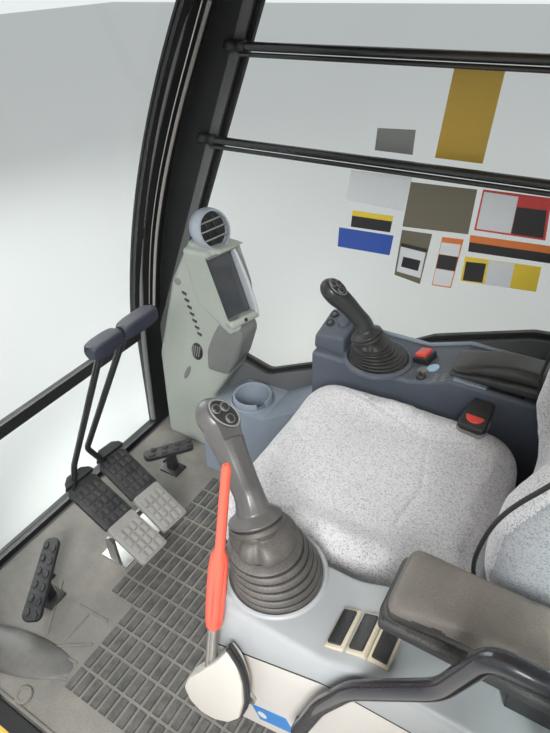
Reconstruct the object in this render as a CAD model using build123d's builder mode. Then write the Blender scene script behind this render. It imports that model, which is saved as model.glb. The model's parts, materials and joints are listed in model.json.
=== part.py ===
from build123d import *
import math
import os

# Operator's cab of a crawler excavator, in millimetres.
# X points forward, Y to the operator's left, Z up. The origin is the centre of
# the four cab mount holes, on the underside of the base frame.
os.makedirs("parts", exist_ok=True)

# Cab shell
inner_half = 480.0          # inner face of each side wall, from the middle
wall = 40.0                 # thickness of walls, roof and door
outer_half = inner_half + wall
rear_x = -930.0             # outer face of the rear wall
base_h = 52.0               # base frame, underside to floor plate
roof_z = 1560.0             # underside of the roof
glass_t = 5.0
corner_r = 45.0             # corners of windows and openings

# Front outline: a straight foot, then one arc up to the roof
foot_x = 781.0
sill_x, sill_z = 757.0, 420.0
chest_x, chest_z = 627.0, 920.0
brow_x = 260.0

# Front pillars
flange_w = 80.0             # the pillar's front flange, from the side wall inwards
flange_y = inner_half - flange_w
flange_t = 30.0             # flange depth, front to back
pillar_foot_x = 730.0       # rear edge of the pillar at the floor
pillar_knee_x, pillar_knee_z = 735.0, 416.0
pillar_top_x = 230.0        # rear edge of the pillar under the roof
header_z = 1480.0           # underside of the beam above the front window
header_d = 70.0

# Floor
mat_t = 8.0
floor_z = base_h + mat_t
mount_x, mount_y = 600.0, inner_half - 28
mount_r = 11.0

# Door, hinged on the post behind its opening
post_x = -500.0             # front face of the post
opening_low, opening_high = 70.0, 1500.0
opening_front = 470.0       # front edge of the opening at the sill
opening_knee_x, opening_knee_z = 495.0, 250.0
opening_land = 40.0         # from the pillar's rear edge to the opening
door_gap = 6.0
hinge_reach = 25.0          # hinge axis, out from the wall
hinge_x, hinge_y = post_x, outer_half + hinge_reach
hinge_pin_r = 8.0
hinge_barrel_r = 14.0
hinge_len = 70.0
pin_fit = 0.3               # running clearance of pins and slides
hinge_heights = (380.0, 1220.0)

# Operator's seat, placed from the right wall, and the consoles beside it
seat_y = 400.0 - inner_half
seat_half = 225.0
console_gap = 20.0          # each console, from the seat's side
stick_spread = seat_half + 68


def circle_through(a, b, c):
    """Centre and radius of the circle through three points."""
    ax, ay = a
    bx, by = b
    cx, cy = c
    d = 2 * (ax * (by - cy) + bx * (cy - ay) + cx * (ay - by))
    a2, b2, c2 = ax * ax + ay * ay, bx * bx + by * by, cx * cx + cy * cy
    ux = (a2 * (by - cy) + b2 * (cy - ay) + c2 * (ay - by)) / d
    uy = (a2 * (cx - bx) + b2 * (ax - cx) + c2 * (bx - ax)) / d
    return ux, uy, math.hypot(ax - ux, ay - uy)


arc_x, arc_z, arc_r = circle_through((sill_x, sill_z), (chest_x, chest_z), (brow_x, roof_z))


def front_x(z):
    """X of the cab's front outline at height z."""
    if z <= sill_z:
        return foot_x + (sill_x - foot_x) * (z - base_h) / (sill_z - base_h)
    return arc_x + math.sqrt(arc_r ** 2 - (z - arc_z) ** 2)


def pillar_x(z):
    """X of the pillar's rear edge at height z."""
    if z <= pillar_knee_z:
        return pillar_foot_x + (pillar_knee_x - pillar_foot_x) * (z - base_h) / (pillar_knee_z - base_h)
    share = (z - pillar_knee_z) / (roof_z - pillar_knee_z)
    return pillar_knee_x + (pillar_top_x - pillar_knee_x) * share


def front_strip(low, high, depth, setback=0.0):
    """Edges of a strip that follows the front outline, depth from front to back."""
    heights = sorted({low, min(max(sill_z, low), high), high})
    with BuildLine() as line:
        for back in (setback, setback + depth):
            for bottom, top in zip(heights, heights[1:]):
                start, end = (front_x(bottom) - back, bottom), (front_x(top) - back, top)
                if bottom < sill_z:
                    Line(start, end)
                else:
                    middle = (bottom + top) / 2
                    ThreePointArc(start, (front_x(middle) - back, middle), end)
        for z in (low, high):
            Line((front_x(z) - setback, z), (front_x(z) - setback - depth, z))
    return line.edges()


def side_plane(y):
    """Sketch plane with X forward and Z up whose extrusion grows towards +Y from y."""
    return Plane(origin=(0, y, 0), x_dir=(1, 0, 0), z_dir=(0, -1, 0))


def outline(points, radius=0.0):
    """Add a polygon, its corners rounded, to the sketch that is open."""
    with BuildLine() as edge:
        Polyline(*points, close=True)
    make_face(edge.edges())
    if radius:
        fillet(vertices(), radius)


def plate(sketch_points, y_low, y_high, radius=0.0, cut_points=(), cut_radius=0.0):
    """Upright plate between two Y values, with windows cut."""
    with BuildPart() as body:
        with BuildSketch(side_plane(y_high)):
            outline(sketch_points, radius)
        extrude(amount=y_high - y_low)
        for points in cut_points:
            with BuildSketch(side_plane(y_high)):
                outline(points, cut_radius)
            extrude(amount=y_high - y_low, mode=Mode.SUBTRACT)
    return body.part


def block(x_low, x_high, y_low, y_high, z_low, z_high, radius=0.0):
    """Block between its limits, its edges rounded by radius."""
    with BuildPart() as body:
        with BuildSketch(Plane.XY.offset(z_low)):
            with Locations(((x_low + x_high) / 2, (y_low + y_high) / 2)):
                Rectangle(x_high - x_low, y_high - y_low)
        extrude(amount=z_high - z_low)
        if radius:
            fillet(body.edges(), radius)
    return body.part


def save(part, name):
    part.label = name
    export_step(part, "parts/" + name + ".step")


# Base frame with its four mount holes
with BuildPart() as base_frame:
    with BuildSketch():
        with Locations(((foot_x + rear_x) / 2, 0)):
            RectangleRounded(foot_x - rear_x, 2 * outer_half, 20)
    extrude(amount=base_h)
    with Locations((0, 0, base_h)):
        with GridLocations(2 * mount_x, 2 * mount_y, 2, 2):
            Hole(mount_r)
save(base_frame.part, "base_frame")

# Floor mat, cut clear of the mounts
mat_front = foot_x - 45
mat_edge = inner_half - 4
mat_hole_r = 19.0
with BuildPart() as floor_mat:
    with BuildSketch(Plane.XY.offset(base_h)):
        with Locations(((mat_front + rear_x + wall) / 2 + 2, 0)):
            RectangleRounded(mat_front - rear_x - wall - 4, 2 * mat_edge, 30)
        with GridLocations(2 * mount_x, 2 * mount_y, 2, 2):
            Circle(mat_hole_r, mode=Mode.SUBTRACT)
    extrude(amount=mat_t)
save(floor_mat.part, "floor_mat")

# Side walls. Corner points (x, z) of the outline, the right window and the door opening.
wall_points = ((rear_x, base_h), (pillar_foot_x, base_h), (pillar_knee_x, pillar_knee_z),
               (pillar_top_x, roof_z), (rear_x, roof_z))
window_top = header_z
right_window = ((pillar_x(window_top) - 25, window_top), (pillar_x(650) - 25, 650), (450, 420), (320, 385),
                (112, 487), (-143, 646), (-348, 719), (-620, 745), (-620, window_top))
door_opening = ((post_x, opening_low), (opening_front, opening_low), (opening_knee_x, opening_knee_z),
                (pillar_x(700) - opening_land, 700),
                (pillar_x(opening_high) - opening_land, opening_high), (post_x, opening_high))
quarter_window = ((-850, 800), (-570, 800), (-570, 1450), (-850, 1450))
save(plate(wall_points, -outer_half, -inner_half, 0, (right_window,), corner_r), "right_wall")
save(plate(wall_points, inner_half, outer_half, 0, (door_opening, quarter_window), corner_r), "left_wall")
save(plate(right_window, -outer_half + 12, -outer_half + 12 + glass_t, corner_r), "right_glass")
save(plate(quarter_window, outer_half - 12 - glass_t, outer_half - 12, corner_r), "quarter_glass")

# Rear wall between the side walls
rear_window_y, rear_window_low, rear_window_high = 370.0, 820.0, 1450.0
rear_window_mid = (rear_window_low + rear_window_high) / 2
with BuildPart() as rear_wall:
    with BuildSketch(Plane.YZ.offset(rear_x)):
        with Locations((0, (base_h + roof_z) / 2)):
            Rectangle(2 * inner_half, roof_z - base_h)
        with Locations((0, rear_window_mid)):
            RectangleRounded(2 * rear_window_y, rear_window_high - rear_window_low, corner_r, mode=Mode.SUBTRACT)
    extrude(amount=wall)
save(rear_wall.part, "rear_wall")
with BuildPart() as rear_glass:
    with BuildSketch(Plane.YZ.offset(rear_x + 12)):
        with Locations((0, rear_window_mid)):
            RectangleRounded(2 * rear_window_y, rear_window_high - rear_window_low, corner_r)
    extrude(amount=glass_t)
save(rear_glass.part, "rear_glass")

# Front frame: two leaning pillars joined by a beam under the roof and a rail at the floor
foot_rail_h = 22.0
with BuildPart() as front_frame:
    for side in (-1, 1):
        outer = side * outer_half
        with BuildSketch(side_plane(max(outer, outer - side * wall))):
            with BuildLine():
                middle = (sill_z + roof_z) / 2
                Polyline((front_x(base_h), base_h), (sill_x, sill_z))
                ThreePointArc((sill_x, sill_z), (front_x(middle), middle), (brow_x, roof_z))
                Polyline((brow_x, roof_z), (pillar_top_x, roof_z), (pillar_knee_x, pillar_knee_z),
                         (pillar_foot_x, base_h), (front_x(base_h), base_h))
            make_face()
        extrude(amount=wall)
        with BuildSketch(side_plane(max(side * inner_half, side * flange_y))):
            make_face(front_strip(base_h, roof_z, flange_t))
        extrude(amount=inner_half - flange_y)
    with BuildSketch(side_plane(flange_y)):
        make_face(front_strip(header_z, roof_z, header_d))
        make_face(front_strip(base_h, base_h + foot_rail_h, flange_t))
    extrude(amount=2 * flange_y)
save(front_frame.part, "front_frame")

# Front windows: the upper one in its own frame, the lower one from the floor to the middle bar
bar_low, bar_high = 436.0, 476.0
glass_setback = 12.0
frame_w = 28.0
with BuildPart() as upper_window_frame:
    with BuildSketch(side_plane(flange_y)):
        make_face(front_strip(bar_low, header_z, 22, 5))
    extrude(amount=2 * flange_y)
    with BuildSketch(side_plane(flange_y - frame_w)):
        make_face(front_strip(bar_high, header_z - frame_w, 60, -10))
    extrude(amount=2 * (flange_y - frame_w), mode=Mode.SUBTRACT)
save(upper_window_frame.part, "upper_window_frame")
with BuildPart() as upper_front_glass:
    with BuildSketch(side_plane(flange_y - frame_w)):
        make_face(front_strip(bar_high, header_z - frame_w, glass_t, glass_setback))
    extrude(amount=2 * (flange_y - frame_w))
save(upper_front_glass.part, "upper_front_glass")
with BuildPart() as lower_front_glass:
    with BuildSketch(side_plane(flange_y)):
        make_face(front_strip(base_h + foot_rail_h, bar_low, glass_t, glass_setback))
    extrude(amount=2 * flange_y)
save(lower_front_glass.part, "lower_front_glass")

# Roof with its hatch opening
hatch_x_low, hatch_x_high, hatch_y = -420.0, 100.0, 290.0
with BuildPart() as roof_panel:
    with BuildSketch(Plane.XY.offset(roof_z)):
        with Locations(((brow_x + rear_x) / 2, 0)):
            RectangleRounded(brow_x - rear_x, 2 * outer_half, 30)
    extrude(amount=wall)
    fillet(roof_panel.faces().sort_by(Axis.Z)[-1].edges(), 22)
    with BuildSketch(Plane.XY.offset(roof_z)):
        with Locations(((hatch_x_low + hatch_x_high) / 2, 0)):
            RectangleRounded(hatch_x_high - hatch_x_low, 2 * hatch_y, 40)
    extrude(amount=wall, mode=Mode.SUBTRACT)
save(roof_panel.part, "roof_panel")

# Hatch lid and its two hinges, whose axis is behind the opening
roof_top = roof_z + wall
lid_lap = 30.0
lid_t = 22.0
hatch_axis_x = hatch_x_low - lid_lap - 18
hatch_axis_z = roof_top + 15
hatch_hinge_ys = (-180.0, 180.0)
hatch_pin_r, hatch_barrel_r, hatch_hinge_len, ear_t = 5.0, 10.0, 60.0, 10.0
with BuildPart() as roof_hatch:
    lid_low = hatch_x_low - lid_lap
    lid_high = hatch_x_high + lid_lap
    with BuildSketch(Plane.XY.offset(roof_top + pin_fit)):
        with Locations(((lid_low + lid_high) / 2, 0)):
            RectangleRounded(lid_high - lid_low, 2 * (hatch_y + lid_lap), 50)
    extrude(amount=lid_t)
    fillet(roof_hatch.faces().sort_by(Axis.Z)[-1].edges(), 10)
    for y in hatch_hinge_ys:
        with BuildSketch(side_plane(y + hatch_hinge_len / 2)):
            with Locations((hatch_axis_x, hatch_axis_z)):
                Circle(hatch_barrel_r)
            with Locations(((hatch_axis_x + lid_low + 20) / 2, hatch_axis_z)):
                Rectangle(lid_low + 20 - hatch_axis_x, 8)
        extrude(amount=hatch_hinge_len)
        with BuildSketch(side_plane(y + hatch_hinge_len / 2)):
            with Locations((hatch_axis_x, hatch_axis_z)):
                Circle(hatch_pin_r + pin_fit)
        extrude(amount=hatch_hinge_len, mode=Mode.SUBTRACT)
save(roof_hatch.part, "roof_hatch")
with BuildPart() as hatch_hinges:
    for y in hatch_hinge_ys:
        span = hatch_hinge_len / 2 + pin_fit
        for side in (-1, 1):
            ear_y = y + side * (span + ear_t / 2) + ear_t / 2
            with BuildSketch(side_plane(ear_y)):
                with Locations((hatch_axis_x, hatch_axis_z)):
                    Circle(hatch_barrel_r)
                with Locations((hatch_axis_x, (roof_top + hatch_axis_z) / 2)):
                    Rectangle(2 * hatch_barrel_r, hatch_axis_z - roof_top)
            extrude(amount=ear_t)
        with BuildSketch(side_plane(y + span + ear_t)):
            with Locations((hatch_axis_x, hatch_axis_z)):
                Circle(hatch_pin_r)
        extrude(amount=2 * (span + ear_t))
save(hatch_hinges.part, "hatch_hinges")


def swung(points):
    """Points of the closed door, turned half a turn about the hinge to the open door."""
    return tuple((2 * hinge_x - x, z) for x, z in points)


# Door, standing open along the cab's left side
door_face = 2 * hinge_y - outer_half     # the side towards the cab
door_back = door_face + wall
opening_slope = math.hypot(1, (pillar_knee_x - pillar_top_x) / (roof_z - pillar_knee_z))
slant = door_gap * opening_slope
door_points = ((post_x + door_gap, opening_low + door_gap), (opening_front - door_gap, opening_low + door_gap),
               (opening_knee_x - door_gap, opening_knee_z), (pillar_x(700) - opening_land - slant, 700),
               (pillar_x(opening_high - door_gap) - opening_land - slant, opening_high - door_gap),
               (post_x + door_gap, opening_high - door_gap))
door_frame_w = 62.0
door_bar_low, door_bar_high = 700.0, 800.0
door_front_w = opening_land + 66
door_top = opening_high - 60
door_kick = 330.0           # top of the panel below the lower window
door_kick_x = opening_front - 30
door_upper = ((post_x + door_frame_w, door_bar_high), (pillar_x(door_bar_high) - door_front_w, door_bar_high),
              (pillar_x(door_top) - door_front_w, door_top), (post_x + door_frame_w, door_top))
door_lower = ((post_x + door_frame_w, door_kick), (door_kick_x, door_kick),
              (pillar_x(door_bar_low) - door_front_w - 12, door_bar_low),
              (post_x + door_frame_w, door_bar_low))
with BuildPart() as door_panel:
    with BuildSketch(side_plane(door_back)):
        outline(swung(door_points), corner_r - door_gap)
    extrude(amount=wall)
    for points in (door_upper, door_lower):
        with BuildSketch(side_plane(door_back)):
            outline(swung(points), 30)
        extrude(amount=wall, mode=Mode.SUBTRACT)
    for z in hinge_heights:
        with BuildSketch(Plane.XY.offset(z - hinge_len / 2)):
            with Locations((hinge_x, hinge_y)):
                Circle(hinge_barrel_r)
            with Locations((hinge_x - 18, (hinge_y + door_face) / 2)):
                Rectangle(36, door_face - hinge_y)
        extrude(amount=hinge_len)
        with BuildSketch(Plane.XY.offset(z - hinge_len / 2)):
            with Locations((hinge_x, hinge_y)):
                Circle(hinge_pin_r + pin_fit)
        extrude(amount=hinge_len, mode=Mode.SUBTRACT)
save(door_panel.part, "door_panel")
with BuildPart() as door_hinges:
    for z in hinge_heights:
        span = hinge_len / 2 + pin_fit
        for low in (z - span - 16, z + span):
            with BuildSketch(Plane.XY.offset(low)):
                with Locations((hinge_x, hinge_y)):
                    Circle(hinge_barrel_r)
                with Locations((hinge_x - 11, (outer_half + hinge_y) / 2)):
                    Rectangle(18, hinge_y - outer_half)
            extrude(amount=16)
        with BuildSketch(Plane.XY.offset(z - span - 16)):
            with Locations((hinge_x, hinge_y)):
                Circle(hinge_pin_r)
        extrude(amount=2 * (span + 16))
save(door_hinges.part, "door_hinges")
door_glass_y = door_face + 12
save(plate(swung(door_upper), door_glass_y, door_glass_y + glass_t, 30), "door_upper_glass")
save(plate(swung(door_lower), door_glass_y, door_glass_y + glass_t, 30), "door_lower_glass")

# Door handle outside, and the grab bar inside, both near the free edge
handle_x = 2 * hinge_x - opening_front + 20
handle_t = hinge_reach - 1
save(block(handle_x - 70, handle_x + 70, door_face - handle_t, door_face, 730, 775, 8), "door_handle")
bar_r = 11.0
bar_z, bar_reach = 745.0, 50.0
bar_front, bar_rear = 2 * hinge_x - 380, 2 * hinge_x + 20
with BuildPart() as door_grab_bar:
    with BuildLine() as path:
        FilletPolyline((bar_front, door_back, bar_z), (bar_front, door_back + bar_reach, bar_z),
                       (bar_rear, door_back + bar_reach, bar_z), (bar_rear, door_back, bar_z), radius=30)
    with BuildSketch(Plane(origin=path.line @ 0, z_dir=path.line % 0)):
        Circle(bar_r)
    sweep(path=path.line)
save(door_grab_bar.part, "door_grab_bar")

# Guard bars across the right window, each on two feet on the window's frame
guard_r = 9.0
guard_y = -inner_half + 14
guard_rear = -640.0
guard_heights = (1240.0, 1045.0)
guard_foot_r = 6.0
with BuildPart() as guard_bars:
    for z in guard_heights:
        x = pillar_x(z) - 6
        with BuildSketch(Plane.YZ.offset(guard_rear)):
            with Locations((guard_y, z)):
                Circle(guard_r)
        extrude(amount=x - guard_rear)
        for end in (guard_rear + 6, x - 7):
            with BuildSketch(side_plane(guard_y)):
                with Locations((end, z)):
                    Circle(guard_foot_r)
            extrude(amount=guard_y + inner_half)
save(guard_bars.part, "guard_bars")

# Monitor column by the right front pillar, from the floor. Outline points (x, z).
column_face = -flange_y
column_points = ((690, floor_z), (668, 400), (572, 676), (500, 800), (480, 875), (430, 908), (370, 884),
                 (358, 790), (352, 640), (391, 423), (470, 300), (480, floor_z))
with BuildPart() as monitor_column:
    with BuildSketch(side_plane(column_face)):
        outline(column_points, 18)
    extrude(amount=inner_half + column_face)
    fillet(monitor_column.faces().sort_by(Axis.Y)[-1].edges(), 14)
save(monitor_column.part, "monitor_column")

# Screen housing on the column's face, and the screen in it
pod_points = ((440, 790), (343, 824), (286, 652), (372, 598))
screen_points = ((426, 780), (349, 808), (301, 655), (373, 614))
pod_t = 20.0
with BuildPart() as monitor_housing:
    with BuildSketch(side_plane(column_face + pod_t)):
        outline(pod_points, 20)
    extrude(amount=pod_t)
    fillet(monitor_housing.faces().sort_by(Axis.Y)[-1].edges(), 6)
    with BuildSketch(side_plane(column_face + pod_t)):
        outline(screen_points, 6)
    extrude(amount=5, mode=Mode.SUBTRACT)
save(monitor_housing.part, "monitor_housing")
with BuildPart() as monitor_screen:
    with BuildSketch(side_plane(column_face + pod_t - 2)):
        outline(screen_points, 6)
    extrude(amount=3)
save(monitor_screen.part, "monitor_screen")

# Air vent above the screen
vent_x, vent_z, vent_r = 412.0, 849.0, 44.0
with BuildPart() as air_vent:
    with BuildSketch(side_plane(column_face + 28)):
        with Locations((vent_x, vent_z)):
            Circle(vent_r)
    extrude(amount=28)
    fillet(air_vent.faces().sort_by(Axis.Y)[-1].edges(), 16)
save(air_vent.part, "air_vent")

# Trim along the right wall with the cup holder in it
trim_face = 150 - inner_half
cup_x, cup_y, cup_r, cup_wall = 322.0, 82 - inner_half, 52.0, 5.0
cup_low, cup_rim = 270.0, 372.0
trim_points = ((96, floor_z), (474, floor_z), (464, 296), (386, 345), (250, 352), (150, 420), (96, 440))
with BuildPart() as right_trim:
    with BuildSketch(side_plane(trim_face)):
        outline(trim_points)
    extrude(amount=inner_half + trim_face)
    with BuildSketch(Plane.XY.offset(cup_low)):
        with Locations((cup_x, cup_y)):
            Circle(cup_r)
    extrude(amount=300, mode=Mode.SUBTRACT)
save(right_trim.part, "right_trim")
with BuildPart() as cup_holder:
    with BuildSketch(Plane.XY.offset(cup_low)):
        with Locations((cup_x, cup_y)):
            Circle(cup_r)
    extrude(amount=cup_rim - cup_low)
    with BuildSketch(Plane.XY.offset(cup_low + cup_wall)):
        with Locations((cup_x, cup_y)):
            Circle(cup_r - cup_wall)
    extrude(amount=cup_rim - cup_low, mode=Mode.SUBTRACT)
save(cup_holder.part, "cup_holder")

# Joysticks. Each leans from a ball on its console's top, in a boot with a wide mouth.
stick_z = 640.0
left_stick = (-135.0, seat_y + stick_spread + 2)
right_stick = (-53.0, seat_y - stick_spread + 1)
boot_r, boot_h, boot_wall = 68.0, 62.0, 4.0
boot_mouth_r = 34.0
shaft_r, skirt_r = 7.0, 30.0
ball_r = 11.0

# Right console
console_r_face = seat_y - seat_half - console_gap
console_r_rear_z = stick_z + 32
right_points = ((95, floor_z), (95, stick_z), (-140, stick_z), (-230, console_r_rear_z),
                (-600, console_r_rear_z), (-600, 300), (-420, floor_z))
with BuildPart() as right_console:
    with BuildSketch(side_plane(console_r_face)):
        outline(right_points, 12)
    extrude(amount=inner_half + console_r_face)
    fillet(right_console.faces().sort_by(Axis.Y)[-1].edges(), 10)
save(right_console.part, "right_console")

# Left console, carried at its rear by a bracket on the seat's pedestal
console_l_low = seat_y + seat_half + console_gap
console_l_high = console_l_low + 135
console_l_rear_z = stick_z + 24
tilt_x, tilt_z, tilt_pin_r = -560.0, 408.0, 12.0
left_points = ((-58, 265), (-58, stick_z), (-250, stick_z), (-300, console_l_rear_z), (-620, console_l_rear_z),
               (-620, 380), (-200, 308))
with BuildPart() as left_console:
    with BuildSketch(side_plane(console_l_high)):
        outline(left_points, 12)
    extrude(amount=console_l_high - console_l_low)
    fillet(left_console.faces().sort_by(Axis.Y)[-1].edges(), 12)
    fillet(left_console.faces().sort_by(Axis.Y)[0].edges(), 12)
    with BuildSketch(side_plane(console_l_high)):
        with Locations((tilt_x, tilt_z)):
            Circle(tilt_pin_r + pin_fit)
    extrude(amount=console_l_high - console_l_low, mode=Mode.SUBTRACT)
save(left_console.part, "left_console")


def boot(x, y):
    """Hollow stepped boot under a joystick, open at its mouth."""
    steps = ((boot_r, 0), (boot_r, 12), (boot_r - 8, 18), (boot_r - 5, 26), (boot_r - 15, 33),
             (boot_r - 12, 41), (boot_r - 24, 48), (boot_mouth_r + boot_wall, boot_h))
    with BuildPart() as body:
        with BuildSketch(Plane(origin=(x, y, stick_z), x_dir=(1, 0, 0), z_dir=(0, -1, 0))):
            with BuildLine():
                Polyline(*steps, (boot_mouth_r, boot_h), *[(r - boot_wall, z) for r, z in steps[-2::-1]], close=True)
            make_face()
        revolve(axis=Axis((x, y, stick_z), (0, 0, 1)))
    return body.part


save(boot(*left_stick), "left_boot")
save(boot(*right_stick), "right_boot")


def joystick(base, top):
    """Upright shaft on its ball, a skirt above the boot, and a grip that leans to top."""
    foot = Vector(base[0], base[1], stick_z + ball_r + pin_fit)
    knee = Vector(base[0], base[1], stick_z + boot_h + 22)
    lean = Vector(*top) - knee
    with BuildPart() as body:
        with Locations(foot):
            Sphere(ball_r)
        with BuildSketch(Plane.XY.offset(foot.Z)):
            with Locations((base[0], base[1])):
                Circle(shaft_r)
        extrude(amount=knee.Z - foot.Z)
        with BuildSketch(Plane.XY.offset(knee.Z - 4)):
            with Locations((base[0], base[1])):
                Circle(skirt_r)
        extrude(amount=8)
        # Radius of the grip at each share of its reach
        for start, end, low_r, high_r in ((0.0, 0.3, 27, 19), (0.3, 0.7, 19, 22), (0.7, 1.0, 22, 26)):
            with BuildSketch(Plane(origin=knee + lean * start, z_dir=lean)) as lower:
                Circle(low_r)
            with BuildSketch(Plane(origin=knee + lean * end, z_dir=lean)) as upper:
                Circle(high_r)
            loft(sections=(lower.sketch, upper.sketch))
    return body.part


left_top = (left_stick[0] + 132, left_stick[1] - 59, stick_z + 218)
right_top = (right_stick[0] + 63, right_stick[1] + 37, stick_z + 188)
save(joystick(left_stick, left_top), "left_joystick")
save(joystick(right_stick, right_top), "right_joystick")

# Switch box in front of the right joystick
save(block(right_stick[0] + boot_r + 5, 84, right_stick[1] - 68, right_stick[1] + 27, stick_z, stick_z + 50, 8),
     "right_switch_box")

# Armrests, each on a post. The right one lies low, close above its console.
arm_low, arm_high, arm_r = 735.0, 790.0, 18.0
arm_r_low = console_r_rear_z + 18
y = console_r_face - 35
save(block(-540, -225, y - 45, y + 45, arm_r_low, arm_r_low + 46, arm_r), "right_armrest")
save(block(-500, -440, y - 30, y + 20, console_r_rear_z, arm_r_low), "right_armrest_post")
y = left_stick[1]
save(block(-600, -313, y - 45, y + 61, arm_low, arm_high, arm_r), "left_armrest")
save(block(-540, -470, y - 20, y + 35, console_l_rear_z, arm_low), "left_armrest_post")

# Lift handle on the left console's outer side: one bent tube
tube_r = 12.0
tube_y = console_l_high + 6 + tube_r
with BuildPart() as console_handle:
    with BuildLine() as path:
        FilletPolyline((-226, console_l_high, 420), (-226, tube_y, 420), (-262, tube_y, 553),
                       (-303, tube_y, 647), (-401, tube_y, 759), (-434, tube_y, 862), (-520, tube_y, 862),
                       (-570, tube_y, 600), (-570, console_l_high, 600), radius=16)
    with BuildSketch(Plane(origin=path.line @ 0, z_dir=path.line % 0)):
        Circle(tube_r)
    sweep(path=path.line)
save(console_handle.part, "console_handle")

# Gate lock lever: a flat teardrop base, a shaft and a thick grip
lever_y = console_l_high + 6
lever_t = 30.0
pivot_x, pivot_z = -45.0, 330.0
with BuildPart() as gate_lock_lever:
    with BuildSketch(side_plane(lever_y + lever_t)):
        outline(((-111, 540), (-60, 470), (10, 320), (-5, 270), (-60, 255), (-100, 300), (-125, 420)), 14)
    extrude(amount=lever_t)
    fillet(gate_lock_lever.faces().sort_by(Axis.Y)[-1].edges(), 8)
    lever_mid = lever_y + lever_t / 2
    lever_foot = Vector(-96, lever_mid, 500)
    lever_tip = Vector(-133, lever_mid, 946)
    rise = lever_tip - lever_foot
    for start, end, radius in ((0.0, 0.22, 7.0), (0.20, 0.64, 13.0), (0.62, 1.0, 7.5)):
        with BuildSketch(Plane(origin=lever_foot + rise * start, z_dir=rise)):
            Circle(radius)
        extrude(amount=rise.length * (end - start))
save(gate_lock_lever.part, "gate_lock_lever")
# Its pivot plate, seated on the flat of the console's side
plate_x, plate_z = pivot_x - 75, pivot_z + 60
with BuildPart() as lever_pivot:
    with BuildSketch(side_plane(lever_y - pin_fit)):
        with BuildLine() as centres:
            Line((plate_x, plate_z), (pivot_x, pivot_z))
        make_face(offset(centres.line, amount=18).edges())
    extrude(amount=lever_y - pin_fit - console_l_high)
save(lever_pivot.part, "lever_pivot")

# Seat: fixed pedestal and rails, sliding base, cushion and backrest
pedestal_top, rail_h = 300.0, 18.0
pan_z, cushion_top = 470.0, 612.0
recline_x, recline_z = -490.0, 520.0
cushion_front, cushion_rear = 75.0, -412.0
save(block(-560, -10, seat_y - 190, seat_y + 190, floor_z, pedestal_top, 10), "seat_pedestal")
with BuildPart() as seat_rails:
    for side in (-1, 1):
        with BuildSketch(Plane.XY.offset(pedestal_top)):
            with Locations((-285, seat_y + side * 150)):
                Rectangle(520, 40)
        extrude(amount=rail_h)
save(seat_rails.part, "seat_rails")
with BuildPart() as seat_base:
    slide_z = pedestal_top + rail_h + pin_fit
    with BuildSketch(Plane.XY.offset(slide_z)):
        with Locations((-230, seat_y)):
            RectangleRounded(400, 360, 20)
    extrude(amount=pan_z - 30 - slide_z)
    with BuildSketch(Plane.XY.offset(pan_z - 30)):
        with Locations(((cushion_front + cushion_rear) / 2 - 20, seat_y)):
            RectangleRounded(cushion_front - cushion_rear - 40, 2 * seat_half - 20, 40)
    extrude(amount=30)
    for side in (-1, 1):
        near, far = sorted((seat_y + side * (seat_half + 2), seat_y + side * (seat_half + 10)))
        with BuildSketch(Plane.XY.offset(pan_z - 30)):
            with Locations((recline_x + 45, seat_y + side * (seat_half - 5))):
                Rectangle(130, 30)
        extrude(amount=16)
        with BuildSketch(side_plane(far)):
            with Locations((recline_x, (pan_z - 30 + recline_z) / 2)):
                Rectangle(40, recline_z - pan_z + 30)
            with Locations((recline_x, recline_z)):
                Circle(20)
        extrude(amount=far - near)
        with BuildSketch(side_plane(seat_y + side * (seat_half - 9) + 11)):
            with Locations((recline_x, recline_z)):
                Circle(8)
        extrude(amount=22)
save(seat_base.part, "seat_base")
with BuildPart() as seat_cushion:
    with BuildSketch(Plane.XY.offset(pan_z)):
        with Locations(((cushion_front + cushion_rear) / 2, seat_y)):
            RectangleRounded(cushion_front - cushion_rear, 2 * seat_half, 70)
    extrude(amount=cushion_top - pan_z)
    fillet(seat_cushion.faces().sort_by(Axis.Z)[-1].edges(), 40)
save(seat_cushion.part, "seat_cushion")

# Backrest, leaning back, outlined in side view and rounded at its edges. Its middle lies deeper
# than the bolsters along both sides.
back_foot, back_head = (-434, 600), (-556, 1190)
back_points = ((-436, 480), back_foot, (-398, 735), (-403, 830), (-452, 940), back_head, (-660, 1200), (-600, 900),
               (-560, 480))
middle_points = (back_foot, back_head, (-300, back_head[1]), (-300, back_foot[1]))
bolster_w = 78.0
with BuildPart() as seat_backrest:
    with BuildSketch(side_plane(seat_y + seat_half)):
        outline(back_points, 28)
    extrude(amount=2 * seat_half)
    fillet(seat_backrest.faces().sort_by(Axis.Y)[-1].edges(), 26)
    fillet(seat_backrest.faces().sort_by(Axis.Y)[0].edges(), 26)
    with BuildSketch(side_plane(seat_y + seat_half - bolster_w)):
        outline(middle_points)
    extrude(amount=2 * (seat_half - bolster_w), mode=Mode.SUBTRACT)
    for side in (-1, 1):
        with BuildSketch(side_plane(seat_y + side * (seat_half - 12) + 12)):
            with Locations((recline_x, recline_z)):
                Circle(8 + pin_fit)
        extrude(amount=24, mode=Mode.SUBTRACT)
save(seat_backrest.part, "seat_backrest")
save(block(-365, -265, seat_y - seat_half + 4, seat_y - seat_half + 54, cushion_top + pin_fit,
           cushion_top + 26, 6), "belt_buckle")

# Travel pedals: pad line from rear to front, lever points, and grip ends
pedal_pin_x, pedal_pin_z, pedal_pin_r = 480.0, 140.0, 9.0
pedal_w, pad_t = 76.0, 12.0
rod_r, grip_r = 8.0, 15.0
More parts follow.
